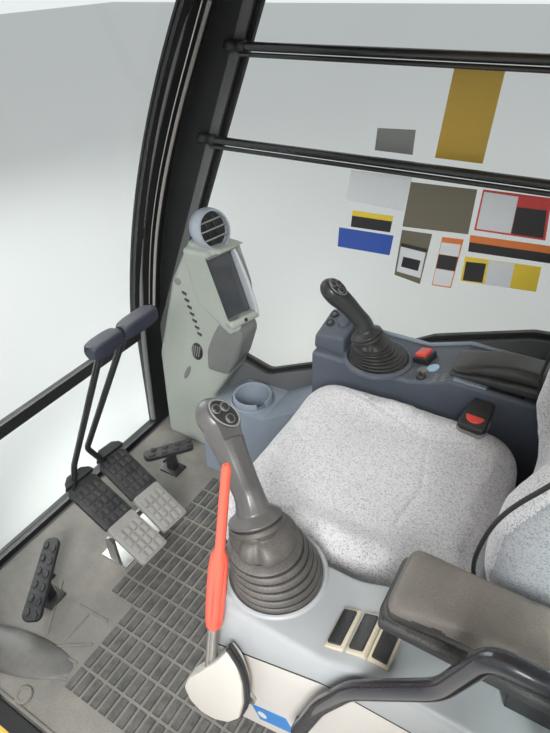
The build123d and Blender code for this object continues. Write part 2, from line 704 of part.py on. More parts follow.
# Columns: name, pad rear, pad front, lever foot, lever bend, lever top, grip end, grip end
travel = (("left", (342, 52, 140), (625, 32, 255), (608, 52, 258), (600, 36, 330), (440, -20, 725), 14, -68),
          ("right", (360, -52, 140), (624, -83, 255), (608, -56, 258), (600, -15, 348), (440, -92, 722), -82, -182))
for name, rear, front, foot, bend, top, grip_a, grip_b in travel:
    a, b = Vector(*rear), Vector(*front)
    along = b - a
    pad_plane = Plane(origin=(a + b) / 2, x_dir=along, z_dir=along.cross(Vector(0, 1, 0)) * -1)
    middle = (a + b) / 2
    with BuildPart() as travel_pedal:
        with BuildSketch(pad_plane):
            RectangleRounded(along.length, pedal_w, 14)
        extrude(amount=pad_t)
        with BuildSketch(side_plane(middle.Y + 14)):
            with Locations((pedal_pin_x, pedal_pin_z)):
                Circle(pedal_pin_r + 8)
            with Locations((pedal_pin_x, pedal_pin_z + 24)):
                Rectangle(26, 48)
        extrude(amount=28)
        with BuildSketch(side_plane(middle.Y + 14)):
            with Locations((pedal_pin_x, pedal_pin_z)):
                Circle(pedal_pin_r + pin_fit)
        extrude(amount=28, mode=Mode.SUBTRACT)
    save(travel_pedal.part, "travel_pedal_" + name)
    with BuildPart() as travel_lever:
        with BuildSketch(pad_plane):
            with Locations(pad_plane.to_local_coords(Vector(*foot))):
                Rectangle(28, 22)
        extrude(amount=-14)
        with BuildLine() as path:
            FilletPolyline(foot, bend, top, radius=40)
        with BuildSketch(Plane(origin=path.line @ 0, z_dir=path.line % 0)):
            Circle(rod_r)
        sweep(path=path.line)
        with BuildSketch(Plane.XZ.offset(-grip_a)):
            with Locations((top[0], top[2])):
                Circle(grip_r)
        extrude(amount=grip_a - grip_b)
    save(travel_lever.part, "travel_lever_" + name)
with BuildPart() as pedal_bracket:
    with BuildSketch(Plane.XY.offset(floor_z)):
        with Locations((pedal_pin_x, -20)):
            Rectangle(90, 216)
    extrude(amount=6)
    for y in (84, -4, -112):
        with BuildSketch(side_plane(y)):
            with Locations((pedal_pin_x, pedal_pin_z)):
                Circle(16)
            with Locations((pedal_pin_x, (floor_z + pedal_pin_z) / 2)):
                Rectangle(32, pedal_pin_z - floor_z)
        extrude(amount=8)
    with BuildSketch(side_plane(84)):
        with Locations((pedal_pin_x, pedal_pin_z)):
            Circle(pedal_pin_r)
    extrude(amount=204)
save(pedal_bracket.part, "pedal_bracket")

# Side foot pedals, splayed on each side. Columns: name, inner end, outer end.
for name, inner, outer in (("left", (607, 160, 148), (500, 335, 112)), ("right", (600, -201, 148), (524, -331, 128))):
    a, b = Vector(*inner), Vector(*outer)
    along = b - a
    across = Vector(0, 0, 1).cross(along)
    pad_plane = Plane(origin=(a + b) / 2, x_dir=along, z_dir=along.cross(across))
    with BuildPart() as side_pedal:
        with BuildSketch(pad_plane):
            SlotOverall(along.length, 46)
        extrude(amount=12)
        with BuildSketch(Plane.XY.offset(floor_z)):
            with Locations(((a.X + b.X) / 2, (a.Y + b.Y) / 2)):
                Rectangle(26, 26)
        extrude(amount=(a.Z + b.Z) / 2 - floor_z)
    save(side_pedal.part, "side_pedal_" + name)

# Bracket that carries the left console on the pedestal, with the tilt pin
with BuildPart() as console_bracket:
    with BuildSketch(side_plane(console_l_low - 6)):
        with Locations((tilt_x + 20, (240 + tilt_z + 22) / 2)):
            RectangleRounded(110, tilt_z + 22 - 240, 12)
    extrude(amount=console_l_low - 6 - (seat_y + 190))
    with BuildSketch(side_plane(console_l_high - 20)):
        with Locations((tilt_x, tilt_z)):
            Circle(tilt_pin_r)
    extrude(amount=console_l_high - 20 - (console_l_low - 6))
save(console_bracket.part, "console_bracket")
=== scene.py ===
# %% [markdown]
# # The operator's cab of a crawler excavator
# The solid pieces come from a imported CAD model, and this lesson dresses them.
# Each step first says what the real piece is and how it could be made, then why
# this way was chosen. Lengths are in metres, X is forward, Y is to the operator's
# left and Z is up.

# %% Load the frame
import bpy
import json
import math
from mathutils import Matrix, Vector

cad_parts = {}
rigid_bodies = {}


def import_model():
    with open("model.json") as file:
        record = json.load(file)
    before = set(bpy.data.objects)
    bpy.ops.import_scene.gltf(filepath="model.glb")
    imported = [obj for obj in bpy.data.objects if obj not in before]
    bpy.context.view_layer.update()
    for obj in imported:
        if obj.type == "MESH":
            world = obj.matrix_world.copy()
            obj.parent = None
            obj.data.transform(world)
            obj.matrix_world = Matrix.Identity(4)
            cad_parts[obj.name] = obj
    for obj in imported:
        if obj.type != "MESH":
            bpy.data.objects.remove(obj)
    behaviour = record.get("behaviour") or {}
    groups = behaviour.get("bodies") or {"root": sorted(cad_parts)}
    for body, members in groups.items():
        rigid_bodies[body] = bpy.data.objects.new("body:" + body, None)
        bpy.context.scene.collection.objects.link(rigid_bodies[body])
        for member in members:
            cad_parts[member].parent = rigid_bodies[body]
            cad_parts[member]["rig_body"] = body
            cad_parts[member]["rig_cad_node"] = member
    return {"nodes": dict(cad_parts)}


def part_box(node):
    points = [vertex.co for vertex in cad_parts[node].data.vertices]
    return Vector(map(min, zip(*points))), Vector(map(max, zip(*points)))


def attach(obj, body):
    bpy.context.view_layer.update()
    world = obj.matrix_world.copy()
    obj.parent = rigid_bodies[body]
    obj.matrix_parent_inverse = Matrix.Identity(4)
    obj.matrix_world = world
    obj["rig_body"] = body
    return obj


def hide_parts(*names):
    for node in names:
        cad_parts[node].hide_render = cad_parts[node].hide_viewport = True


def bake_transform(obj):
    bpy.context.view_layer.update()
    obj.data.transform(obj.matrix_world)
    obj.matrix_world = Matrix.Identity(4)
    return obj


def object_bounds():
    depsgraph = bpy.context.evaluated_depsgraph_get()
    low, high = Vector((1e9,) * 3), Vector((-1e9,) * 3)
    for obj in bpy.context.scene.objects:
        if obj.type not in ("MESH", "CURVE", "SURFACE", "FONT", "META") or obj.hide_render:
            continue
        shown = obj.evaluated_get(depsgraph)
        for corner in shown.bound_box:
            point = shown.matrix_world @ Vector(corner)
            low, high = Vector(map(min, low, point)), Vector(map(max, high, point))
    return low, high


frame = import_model()
NODES = frame["nodes"]
cad_low, cad_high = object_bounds()
print("CAD nodes", len(NODES), "box", [round(c, 3) for c in (*cad_low, *cad_high)])

# %% [markdown]
# ## The camera
# The photograph was taken at the open door, looking forward and down across the
# cab, a little above the head of a seated operator. A camera could be aimed by
# hand, but the mat's lines and the pillars give its place, so it is set from an
# eye point, a point it looks at, and the few degrees by which it was held askew.

# %% Camera
EYE = Vector((-0.412, 0.636, 1.390))
LOOKS_AT = Vector((0.106, -0.183, 0.682))
ROLL = math.radians(-2.19)
LENS_MM = 27.65

bpy.ops.object.select_all(action="DESELECT")
bpy.ops.object.camera_add(location=EYE)
camera = bpy.context.active_object
camera.name = "door_camera"
camera.rotation_mode = "QUATERNION"
aim = (LOOKS_AT - EYE).to_track_quat("-Z", "Y").to_matrix()
camera.rotation_quaternion = (aim @ Matrix.Rotation(ROLL, 3, "Z")).to_quaternion()
camera.data.lens = LENS_MM
camera.data.clip_start = 0.02
camera.data.clip_end = 60.0
bpy.context.scene.camera = camera
print("camera at", tuple(round(c, 3) for c in camera.location))

# %% [markdown]
# ## Light and floor
# A cab is a box with windows, so a lamp above it would leave the inside black.
# A bright world alone lights it evenly but flattens every form. One broad lamp
# outside the open door, and a weaker one beyond the windscreen, give soft
# shadows that show the shapes, and the world fills what they miss.

# %% Light and floor
PALE = (0.80, 0.80, 0.79, 1.0)


def soft_lamp(name, place, target, size, watts):
    """A square lamp of that size, turned to its target."""
    bpy.ops.object.light_add(type="AREA", location=place)
    lamp = bpy.context.active_object
    lamp.name = name
    lamp.rotation_mode = "QUATERNION"
    lamp.rotation_quaternion = (Vector(target) - Vector(place)).to_track_quat("-Z", "Y")
    lamp.data.size = size
    lamp.data.energy = watts
    return lamp


soft_lamp("door_lamp", (-1.3, 2.5, 2.7), (0.1, 0.0, 0.6), 1.3, 150)
soft_lamp("front_lamp", (3.2, -0.9, 2.6), (0.2, 0.0, 0.8), 2.0, 45)

bpy.ops.mesh.primitive_plane_add(size=40, location=(0, 0, cad_low.z))
floor = bpy.context.active_object
floor.name = "studio_floor"
bpy.ops.object.transform_apply(location=True, rotation=True, scale=True)

world = bpy.data.worlds.new("studio_air")
bpy.context.scene.world = world
world.use_nodes = True
bpy.context.scene.view_settings.view_transform = "Standard"

# %% [markdown]
# ## Small tools for node trees
# A material can be wired by hand in the shader editor. In a script, two short
# helpers do the same: one adds a node with its settings, one joins two sockets.

# %% Node helpers


def add_node(tree, kind, **settings):
    """Add a node, and set its properties by name."""
    made = tree.nodes.new(kind)
    for key, value in settings.items():
        setattr(made, key, value)
    return made


def put(tree, source, target):
    """Link a socket to another, or write a plain value into it."""
    if isinstance(source, bpy.types.NodeSocket):
        tree.links.new(source, target)
    else:
        target.default_value = source


def compute(tree, operation, *values, clamp=False):
    """A Math node on sockets or numbers, and its result socket."""
    made = add_node(tree, "ShaderNodeMath", operation=operation, use_clamp=clamp)
    for slot, value in zip(made.inputs, values):
        put(tree, value, slot)
    return made.outputs[0]


def mix_colour(tree, share, first, second, blend="MIX"):
    """A colour Mix node, and its result socket."""
    made = add_node(tree, "ShaderNodeMix", data_type="RGBA", blend_type=blend)
    put(tree, share, made.inputs["Factor"])
    put(tree, first, made.inputs[6])
    put(tree, second, made.inputs[7])
    return made.outputs[2]


def ramp(tree, value, low, high):
    """Stretch the range low to high over 0 to 1, and clamp it."""
    made = add_node(tree, "ShaderNodeMapRange", clamp=True)
    put(tree, value, made.inputs["Value"])
    made.inputs["From Min"].default_value = low
    made.inputs["From Max"].default_value = high
    return made.outputs["Result"]


def noise(tree, place, scale, detail=3.0, rough=0.55):
    """Noise over a coordinate, its strength from 0 to 1."""
    made = add_node(tree, "ShaderNodeTexNoise")
    put(tree, place, made.inputs["Vector"])
    put(tree, scale, made.inputs["Scale"])
    made.inputs["Detail"].default_value = detail
    made.inputs["Roughness"].default_value = rough
    return made.outputs["Fac"]


def node_group(name, inputs, outputs):
    """A shader group with named sockets, and its two end nodes."""
    tree = bpy.data.node_groups.new(name, "ShaderNodeTree")
    for label, value in inputs:
        kind = "NodeSocketColor" if isinstance(value, tuple) else "NodeSocketFloat"
        socket = tree.interface.new_socket(name=label, in_out="INPUT", socket_type=kind)
        socket.default_value = value
    for label, kind in outputs:
        tree.interface.new_socket(name=label, in_out="OUTPUT", socket_type="NodeSocket" + kind)
    return tree, tree.nodes.new("NodeGroupInput"), tree.nodes.new("NodeGroupOutput")


def use_group(tree, group, **values):
    """Place a group in a material and set its inputs."""
    made = add_node(tree, "ShaderNodeGroup", node_tree=group)
    for label, value in values.items():
        put(tree, value, made.inputs[label.replace("_", " ").capitalize()])
    return made


def new_material(name, colour, alpha=1.0):
    """A new material, its tree and its shader."""
    made = bpy.data.materials.new(name)
    made.use_nodes = True
    made.diffuse_color = (*colour, alpha)
    return made, made.node_tree, made.node_tree.nodes["Principled BSDF"]


def raise_bump(tree, height, strength, distance):
    """Let a height stand out as bump on a material's shader."""
    bump = add_node(tree, "ShaderNodeBump")
    bump.inputs["Strength"].default_value = strength
    bump.inputs["Distance"].default_value = distance
    put(tree, height, bump.inputs["Height"])
    put(tree, bump.outputs["Normal"], tree.nodes["Principled BSDF"].inputs["Normal"])


# %% Floor and world
stage_paint, _, stage_shader = new_material("studio_floor", PALE[:3])
stage_shader.inputs["Base Color"].default_value = PALE
stage_shader.inputs["Roughness"].default_value = 0.75
floor.data.materials.append(stage_paint)

AIR_FILL = 0.62
air = world.node_tree
backdrop = air.nodes["Background"]
rays = add_node(air, "ShaderNodeLightPath")
seen = compute(air, "MAXIMUM", rays.outputs["Is Camera Ray"], rays.outputs["Is Glossy Ray"])
seen = compute(air, "MAXIMUM", seen, rays.outputs["Is Transmission Ray"])
put(air, (0.88, 0.90, 0.92, 1.0), backdrop.inputs["Color"])
put(air, compute(air, "ADD", compute(air, "MULTIPLY", seen, 1.0 - AIR_FILL), AIR_FILL),
    backdrop.inputs["Strength"])
print("world nodes", len(air.nodes))

# %% [markdown]
# ## Shared effects
# Every plastic in the cab is a little patchy, gathers pale dust on the faces
# that look up, and has a fine moulded grain. Each effect could be wired again in
# every material. A node group is wired once and used with its own values.

# %% Patchy colour
# No two hand breadths of a used surface are quite the same tone.
patchy, start, end = node_group(
    "patchy_colour",
    [("Color", (0.5, 0.5, 0.5, 1.0)), ("Spread", 0.15), ("Scale", 8.0), ("Roughness", 0.5)],
    [("Color", "Color"), ("Roughness", "Float")])
where = add_node(patchy, "ShaderNodeTexCoord").outputs["Object"]
broad = noise(patchy, where, start.outputs["Scale"], 4.0)
fine = noise(patchy, where, compute(patchy, "MULTIPLY", start.outputs["Scale"], 9.0), 3.0)
tone = compute(patchy, "ADD", compute(patchy, "MULTIPLY", broad, 0.65),
               compute(patchy, "MULTIPLY", fine, 0.35))
swing = compute(patchy, "MULTIPLY", compute(patchy, "SUBTRACT", tone, 0.5), start.outputs["Spread"])
lift = compute(patchy, "ADD", 1.0, compute(patchy, "MULTIPLY", swing, 2.0))
level = add_node(patchy, "ShaderNodeCombineColor")
for channel in level.inputs:
    put(patchy, lift, channel)
put(patchy, mix_colour(patchy, 1.0, start.outputs["Color"], level.outputs["Color"], "MULTIPLY"),
    end.inputs["Color"])
put(patchy, compute(patchy, "ADD", start.outputs["Roughness"], compute(patchy, "MULTIPLY", swing, 0.5),
                    clamp=True),
    end.inputs["Roughness"])

# %% Settled dust
# Dust lies on faces that look up, and in patches.
dusty, start, end = node_group(
    "settled_dust",
    [("Color", (0.5, 0.5, 0.5, 1.0)), ("Dust", (0.42, 0.39, 0.34, 1.0)), ("Amount", 0.3), ("Scale", 14.0),
     ("Roughness", 0.5)],
    [("Color", "Color"), ("Roughness", "Float"), ("Mask", "Float")])
where = add_node(dusty, "ShaderNodeTexCoord")
facing = add_node(dusty, "ShaderNodeSeparateXYZ")
put(dusty, where.outputs["Normal"], facing.inputs[0])
upward = ramp(dusty, facing.outputs["Z"], -0.1, 0.9)
cloud = ramp(dusty, noise(dusty, where.outputs["Object"], start.outputs["Scale"], 5.0, 0.65), 0.34, 0.68)
specks = ramp(dusty, noise(dusty, where.outputs["Object"], 420.0, 2.0), 0.40, 0.62)
spread = compute(dusty, "MULTIPLY", cloud, compute(dusty, "ADD", 0.45,
                                                   compute(dusty, "MULTIPLY", specks, 0.55)))
mask = compute(dusty, "MULTIPLY", compute(dusty, "MULTIPLY", spread, upward), start.outputs["Amount"],
               clamp=True)
put(dusty, mix_colour(dusty, mask, start.outputs["Color"], start.outputs["Dust"]), end.inputs["Color"])
put(dusty, compute(dusty, "ADD", start.outputs["Roughness"], compute(dusty, "MULTIPLY", mask, 0.45),
                   clamp=True),
    end.inputs["Roughness"])
put(dusty, mask, end.inputs["Mask"])

# %% Moulded grain
# The fine leathery texture of a plastic mould, as a height.
grained, start, end = node_group("moulded_grain", [("Scale", 700.0)], [("Height", "Float")])
where = add_node(grained, "ShaderNodeTexCoord").outputs["Object"]
cells = add_node(grained, "ShaderNodeTexVoronoi", feature="F1")
put(grained, where, cells.inputs["Vector"])
put(grained, start.outputs["Scale"], cells.inputs["Scale"])
fine = noise(grained, where, compute(grained, "MULTIPLY", start.outputs["Scale"], 1.7), 2.0)
put(grained, compute(grained, "ADD", compute(grained, "MULTIPLY", cells.outputs["Distance"], 0.6),
                     compute(grained, "MULTIPLY", fine, 0.5)), end.inputs["Height"])

# %% Worn edges
# Paint is thin where it bends over an edge. The Bevel node rounds the normal
# there, and the difference from the true normal is the mask.
worn, start, end = node_group(
    "worn_edges",
    [("Color", (0.5, 0.5, 0.5, 1.0)), ("Bare", (0.30, 0.29, 0.28, 1.0)), ("Amount", 0.6), ("Width", 0.004)],
    [("Color", "Color"), ("Mask", "Float")])
rounded = add_node(worn, "ShaderNodeBevel", samples=4)
put(worn, start.outputs["Width"], rounded.inputs["Radius"])
true_side = add_node(worn, "ShaderNodeNewGeometry")
agree = add_node(worn, "ShaderNodeVectorMath", operation="DOT_PRODUCT")
put(worn, rounded.outputs["Normal"], agree.inputs[0])
put(worn, true_side.outputs["Normal"], agree.inputs[1])
bend = ramp(worn, agree.outputs["Value"], 0.995, 0.86)
where = add_node(worn, "ShaderNodeTexCoord").outputs["Object"]
broken = ramp(worn, noise(worn, where, 60.0, 6.0, 0.7), 0.44, 0.60)
mask = compute(worn, "MULTIPLY", compute(worn, "MULTIPLY", bend, broken), start.outputs["Amount"], clamp=True)
put(worn, mix_colour(worn, mask, start.outputs["Color"], start.outputs["Bare"]), end.inputs["Color"])
put(worn, mask, end.inputs["Mask"])

# %% Scuffs
# Long fine scratches where hands and boots pass, as a mask.
scuffed, start, end = node_group("scuffs", [("Scale", 30.0), ("Stretch", 14.0), ("Amount", 0.5)],
                                 [("Mask", "Float")])
where = add_node(scuffed, "ShaderNodeTexCoord").outputs["Object"]
axes = add_node(scuffed, "ShaderNodeCombineXYZ")
put(scuffed, 1.0, axes.inputs["X"])
put(scuffed, start.outputs["Stretch"], axes.inputs["Y"])
put(scuffed, start.outputs["Stretch"], axes.inputs["Z"])
drawn = add_node(scuffed, "ShaderNodeVectorMath", operation="MULTIPLY")
put(scuffed, where, drawn.inputs[0])
put(scuffed, axes.outputs[0], drawn.inputs[1])
lines = noise(scuffed, drawn.outputs[0], start.outputs["Scale"], 4.0, 0.6)
put(scuffed, compute(scuffed, "MULTIPLY", ramp(scuffed, lines, 0.60, 0.72), start.outputs["Amount"]),
    end.inputs["Mask"])
print("effect groups", [g.name for g in bpy.data.node_groups])

# %% [markdown]
# ## The finishes
# One function makes any plain moulding, paint or rubber from the shared effects:
# patchy colour first, dust on top of it, grain as bump. It takes the colour and
# roughness of the real piece, so each finish below is one readable line.

# %% A surface from its facts
DUST = (0.40, 0.375, 0.33, 1.0)
RELIEF = 0.0006


def surface(name, colour, roughness, spread=0.15, patch=7.0, dust=0.25, dust_scale=12.0, dust_colour=DUST,
            grain=0.0, grain_scale=700.0, metallic=0.0, coat=0.0, edge=None, scuff=0.0):
    """A material of one colour, with patches, dust, grain, worn edges and scuffs."""
    made, tree, shader = new_material(name, colour)
    body = use_group(tree, patchy, color=(*colour, 1.0), spread=spread, scale=patch, roughness=roughness)
    tone, rough = body.outputs["Color"], body.outputs["Roughness"]
    if edge:
        rim = use_group(tree, worn, color=tone, bare=(*edge, 1.0), amount=0.7, width=0.003)
        tone = rim.outputs["Color"]
    if scuff:
        marks = use_group(tree, scuffed, scale=22.0, stretch=9.0, amount=scuff)
        paler = tuple(min(1.0, c * 1.9 + 0.05) for c in colour)
        tone = mix_colour(tree, marks.outputs["Mask"], tone, (*paler, 1.0))
    if dust:
        coat_of_dust = use_group(tree, dusty, color=tone, dust=dust_colour, amount=dust, scale=dust_scale,
                                 roughness=rough)
        tone, rough = coat_of_dust.outputs["Color"], coat_of_dust.outputs["Roughness"]
    put(tree, tone, shader.inputs["Base Color"])
    put(tree, rough, shader.inputs["Roughness"])
    shader.inputs["Metallic"].default_value = metallic
    shader.inputs["Coat Weight"].default_value = coat
    if grain:
        raise_bump(tree, use_group(tree, grained, scale=grain_scale).outputs["Height"], grain, RELIEF)
    return made


# %% Mouldings, rubber and steel
column_grey = surface("column_grey", (0.335, 0.365, 0.325), 0.50, grain=0.25, dust=0.25, scuff=0.10)
cover_grey = surface("cover_grey", (0.41, 0.435, 0.45), 0.36, grain=0.12, dust=0.12, spread=0.08)
panel_white = surface("panel_white", (0.60, 0.575, 0.54), 0.38, grain=0.10, dust=0.08, spread=0.06)
trim_blue = surface("trim_blue_grey", (0.27, 0.315, 0.375), 0.50, grain=0.25, dust=0.22)
console_dark = surface("console_slate", (0.088, 0.102, 0.130), 0.55, grain=0.35, dust=0.16)
black_plastic = surface("black_plastic", (0.022, 0.023, 0.026), 0.42, grain=0.30, dust=0.12)
seat_plastic = surface("seat_plastic", (0.030, 0.031, 0.034), 0.55, grain=0.35, dust=0.30)
grip_grey = surface("grip_grey", (0.112, 0.110, 0.107), 0.32, spread=0.10, grain=0.08, dust=0.05, coat=0.15)
grip_black = surface("grip_black", (0.028, 0.029, 0.031), 0.34, spread=0.10, grain=0.10, dust=0.06, coat=0.10)
boot_rubber = surface("boot_rubber", (0.080, 0.075, 0.070), 0.44, spread=0.22, patch=16.0, dust=0.38,
                      grain=0.15)
boot_black = surface("boot_black", (0.020, 0.020, 0.022), 0.50, spread=0.20, dust=0.16, grain=0.12)
lever_grip_blue = surface("travel_grip", (0.026, 0.029, 0.045), 0.48, spread=0.12, dust=0.10, grain=0.20)
pillar_black = surface("pillar_black", (0.019, 0.020, 0.021), 0.40, dust=0.16, edge=(0.16, 0.15, 0.14))
# Black rubber of the seals; the bellows also wear it in their gaps as painted shade.
seal_rubber_and_shade = surface("seal_rubber_and_shade", (0.017, 0.017, 0.018), 0.62, dust=0.20, spread=0.25)
seal_grey = surface("seal_grey", (0.21, 0.215, 0.205), 0.60, dust=0.30, spread=0.20)
rod_black = surface("rod_black", (0.016, 0.017, 0.019), 0.28, dust=0.06, coat=0.25)
handle_black = surface("handle_black", (0.020, 0.022, 0.030), 0.24, dust=0.05, coat=0.35, spread=0.10)
bare_steel = surface("bare_steel", (0.60, 0.60, 0.59), 0.30, metallic=1.0, dust=0.12, spread=0.20, patch=25.0)
coral_red = surface("coral_red", (0.84, 0.125, 0.075), 0.36, spread=0.06, dust=0.03, grain=0.06)
lever_ivory = surface("lever_ivory", (0.66, 0.625, 0.58), 0.34, spread=0.05, dust=0.04, grain=0.08)
button_red = surface("button_red", (0.80, 0.075, 0.055), 0.35, spread=0.06, dust=0.03)
switch_cream = surface("switch_cream", (0.66, 0.60, 0.46), 0.42, spread=0.06, dust=0.08)
label_blue = surface("label_blue", (0.035, 0.20, 0.52), 0.30, spread=0.04, dust=0.03)
webbing = surface("webbing_black", (0.020, 0.020, 0.022), 0.70, spread=0.20, dust=0.12, grain=0.6,
                  grain_scale=900.0)
vinyl = surface("armrest_vinyl", (0.150, 0.132, 0.118), 0.46, spread=0.20, patch=11.0, dust=0.22, grain=0.7,
                grain_scale=420.0)
# Black vinyl of the right armrest; on the left armrest's sides it is painted shade.
vinyl_black_and_side_shade = surface("armrest_black_and_side_shade", (0.026, 0.025, 0.025), 0.40, spread=0.15, dust=0.12, grain=0.6,
                      grain_scale=420.0)
print("plain finishes", len(bpy.data.materials))

# %% [markdown]
# ## Machine paint with a lined inside
# The shell is painted machine yellow outside, and inside it is lined with grey
# panels, but each wall is one CAD solid with one finish. The wall could be copied
# and split. Here the place decides instead: a point that lies inside the cab's
# inner faces gets the lining, so paint and lining stay on the wall itself. Faces
# that look along the wall, in its windows and doorway, carry black seals.

# %% Shell paint
PAINT = (0.80, 0.50, 0.035, 1.0)
LINING = (0.135, 0.140, 0.142, 1.0)
right_low, right_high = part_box("right_wall")
INNER_HALF, OUTER_HALF = -right_high.y, -right_low.y
rear_low, rear_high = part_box("rear_wall")
roof_low, roof_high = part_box("roof_panel")
SKIN = 0.001


def shell_paint(name, lined):
    """Yellow paint with dust and chipped edges; lined where the point is inside the cab."""
    made, tree, shader = new_material(name, PAINT[:3])
    coat = use_group(tree, patchy, color=PAINT, spread=0.06, scale=2.5, roughness=0.34)
    chips = use_group(tree, worn, color=coat.outputs["Color"], bare=(0.10, 0.075, 0.055, 1.0), amount=0.8,
                      width=0.004)
    film = use_group(tree, dusty, color=chips.outputs["Color"], dust=(0.46, 0.40, 0.30, 1.0), amount=0.38,
                     scale=5.0, roughness=coat.outputs["Roughness"])
    tone, rough = film.outputs["Color"], film.outputs["Roughness"]
    if lined:
        place = add_node(tree, "ShaderNodeSeparateXYZ")
        put(tree, add_node(tree, "ShaderNodeTexCoord").outputs["Object"], place.inputs[0])
        side = compute(tree, "LESS_THAN", compute(tree, "ABSOLUTE", place.outputs["Y"]), INNER_HALF + SKIN)
        ahead = compute(tree, "GREATER_THAN", place.outputs["X"], rear_high.x - SKIN)
        below = compute(tree, "LESS_THAN", place.outputs["Z"], roof_low.z + SKIN)
        inside = compute(tree, "MULTIPLY", compute(tree, "MULTIPLY", side, ahead), below)
        cloth = use_group(tree, patchy, color=LINING, spread=0.14, scale=9.0, roughness=0.62)
        tone = mix_colour(tree, inside, tone, cloth.outputs["Color"])
        facing = add_node(tree, "ShaderNodeSeparateXYZ")
        put(tree, add_node(tree, "ShaderNodeTexCoord").outputs["Normal"], facing.inputs[0])
        edgewise = compute(tree, "LESS_THAN", compute(tree, "ABSOLUTE", facing.outputs["Y"]), 0.5)
        beyond = compute(tree, "GREATER_THAN", compute(tree, "ABSOLUTE", place.outputs["Y"]),
                         INNER_HALF - SKIN)
        within = compute(tree, "LESS_THAN", compute(tree, "ABSOLUTE", place.outputs["Y"]), OUTER_HALF - 0.006)
        sealed = compute(tree, "MULTIPLY", compute(tree, "MULTIPLY", edgewise, beyond), within)
        tone = mix_colour(tree, sealed, tone, (0.018, 0.018, 0.019, 1.0))
        rough = compute(tree, "ADD", compute(tree, "MULTIPLY", rough, compute(tree, "SUBTRACT", 1.0, inside)),
                        compute(tree, "MULTIPLY", cloth.outputs["Roughness"], inside))
    put(tree, tone, shader.inputs["Base Color"])
    put(tree, rough, shader.inputs["Roughness"])
    shader.inputs["Coat Weight"].default_value = 0.12
    raise_bump(tree, use_group(tree, grained, scale=160.0).outputs["Height"], 0.05, 0.001)
    return made


yellow_lined = shell_paint("machine_yellow_lined", lined=True)
yellow_paint = shell_paint("machine_yellow", lined=False)
print("lining starts at", round(INNER_HALF, 3), "m from the middle")

# %% [markdown]
# ## Window glass
# The panes are clear safety glass with a faint green tint and a film of dust.
# A refracting pane would be right, but it blocks the lamps and the cab turns
# black. So for shadow rays the material is simply clear, and for all others it is
# a thin transmitting shader.

# %% Glass


def window_glass(name, tint, dirt):
    """Clear glass that lets lamp light through; dirt is how strong the dust film is."""
    made, tree, pane = new_material(name, tint, 0.25)
    pane.inputs["Transmission Weight"].default_value = 1.0
    pane.inputs["Base Color"].default_value = (*tint, 1.0)
    pane.inputs["IOR"].default_value = 1.12
    where = add_node(tree, "ShaderNodeTexCoord").outputs["Object"]
    film = ramp(tree, noise(tree, where, 6.0, 6.0, 0.6), 0.45, 0.80)
    put(tree, compute(tree, "MULTIPLY", film, 0.22 * dirt), pane.inputs["Roughness"])
    clear = add_node(tree, "ShaderNodeBsdfTransparent")
    clear.inputs["Color"].default_value = (*(0.5 + 0.5 * c for c in tint), 1.0)
    rays = add_node(tree, "ShaderNodeLightPath")
    choice = add_node(tree, "ShaderNodeMixShader")
    put(tree, rays.outputs["Is Shadow Ray"], choice.inputs["Fac"])
    tree.links.new(pane.outputs[0], choice.inputs[1])
    tree.links.new(clear.outputs[0], choice.inputs[2])
    tree.links.new(choice.outputs[0], tree.nodes["Material Output"].inputs["Surface"])
    return made


clear_glass = window_glass("clear_glass", (0.93, 0.97, 0.955), 0.35)
print("glass tint", tuple(round(c, 2) for c in clear_glass.diffuse_color))

# %% [markdown]
# ## Floor rubber
# The mat is one moulding: dark bricks stand up from grooves that trapped pale
# dust. The bricks are real geometry further on. The rubber only needs a speckled,
# trodden tone, lighter where it lies low.

# %% Floor rubber
mat_low, mat_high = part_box("floor_mat")
brick_rubber = surface("brick_rubber", (0.062, 0.061, 0.058), 0.58, spread=0.35, patch=14.0, dust=0.50,
                       dust_scale=34.0, dust_colour=(0.30, 0.285, 0.255, 1.0), grain=0.6, grain_scale=420.0)
groove_rubber = surface("groove_rubber", (0.175, 0.168, 0.152), 0.66, spread=0.45, patch=5.0, dust=0.62,
                        dust_scale=7.0, dust_colour=(0.36, 0.335, 0.29, 1.0), grain=0.9, grain_scale=260.0)
smooth_rubber = surface("smooth_rubber", (0.120, 0.118, 0.112), 0.34, spread=0.25, patch=5.0, dust=0.30,
                        grain=0.15)
pedal_black = surface("pedal_black", (0.021, 0.022, 0.027), 0.50, spread=0.25, patch=20.0, dust=0.18,
                      grain=0.35)
pedal_pale = surface("pedal_pale", (0.30, 0.29, 0.275), 0.66, spread=0.18, patch=20.0, dust=0.35, grain=0.5)
print("mat top", round(mat_high.z, 3))

# %% [markdown]
# ## Seat cloth
# The seat is covered in a light grey cloth, woven from pale and dark yarns, so it
# looks speckled close by and plain from a step away. A picture of cloth would
# do it. Two crossed waves and a cell noise do it without one, at yarn size.

# %% Seat cloth
woven, start, end = node_group(
    "woven_cloth", [("Yarn", 900.0), ("Speckle", 330.0)], [("Height", "Float"), ("Speckle", "Float")])
where = add_node(woven, "ShaderNodeTexCoord").outputs["Object"]
axes = add_node(woven, "ShaderNodeSeparateXYZ")
put(woven, where, axes.inputs[0])
across = compute(woven, "SINE", compute(woven, "MULTIPLY", start.outputs["Yarn"],
                                        compute(woven, "ADD", axes.outputs["X"], axes.outputs["Z"])))
along = compute(woven, "SINE", compute(woven, "MULTIPLY", start.outputs["Yarn"],
                                       compute(woven, "SUBTRACT", axes.outputs["Y"], axes.outputs["Z"])))
put(woven, compute(woven, "ADD", 0.5, compute(woven, "MULTIPLY", 0.5,
                                              compute(woven, "MULTIPLY", across, along))),
    end.inputs["Height"])
flecks = add_node(woven, "ShaderNodeTexVoronoi", feature="F1")
put(woven, where, flecks.inputs["Vector"])
put(woven, start.outputs["Speckle"], flecks.inputs["Scale"])
tones = add_node(woven, "ShaderNodeSeparateColor")
put(woven, flecks.outputs["Color"], tones.inputs[0])
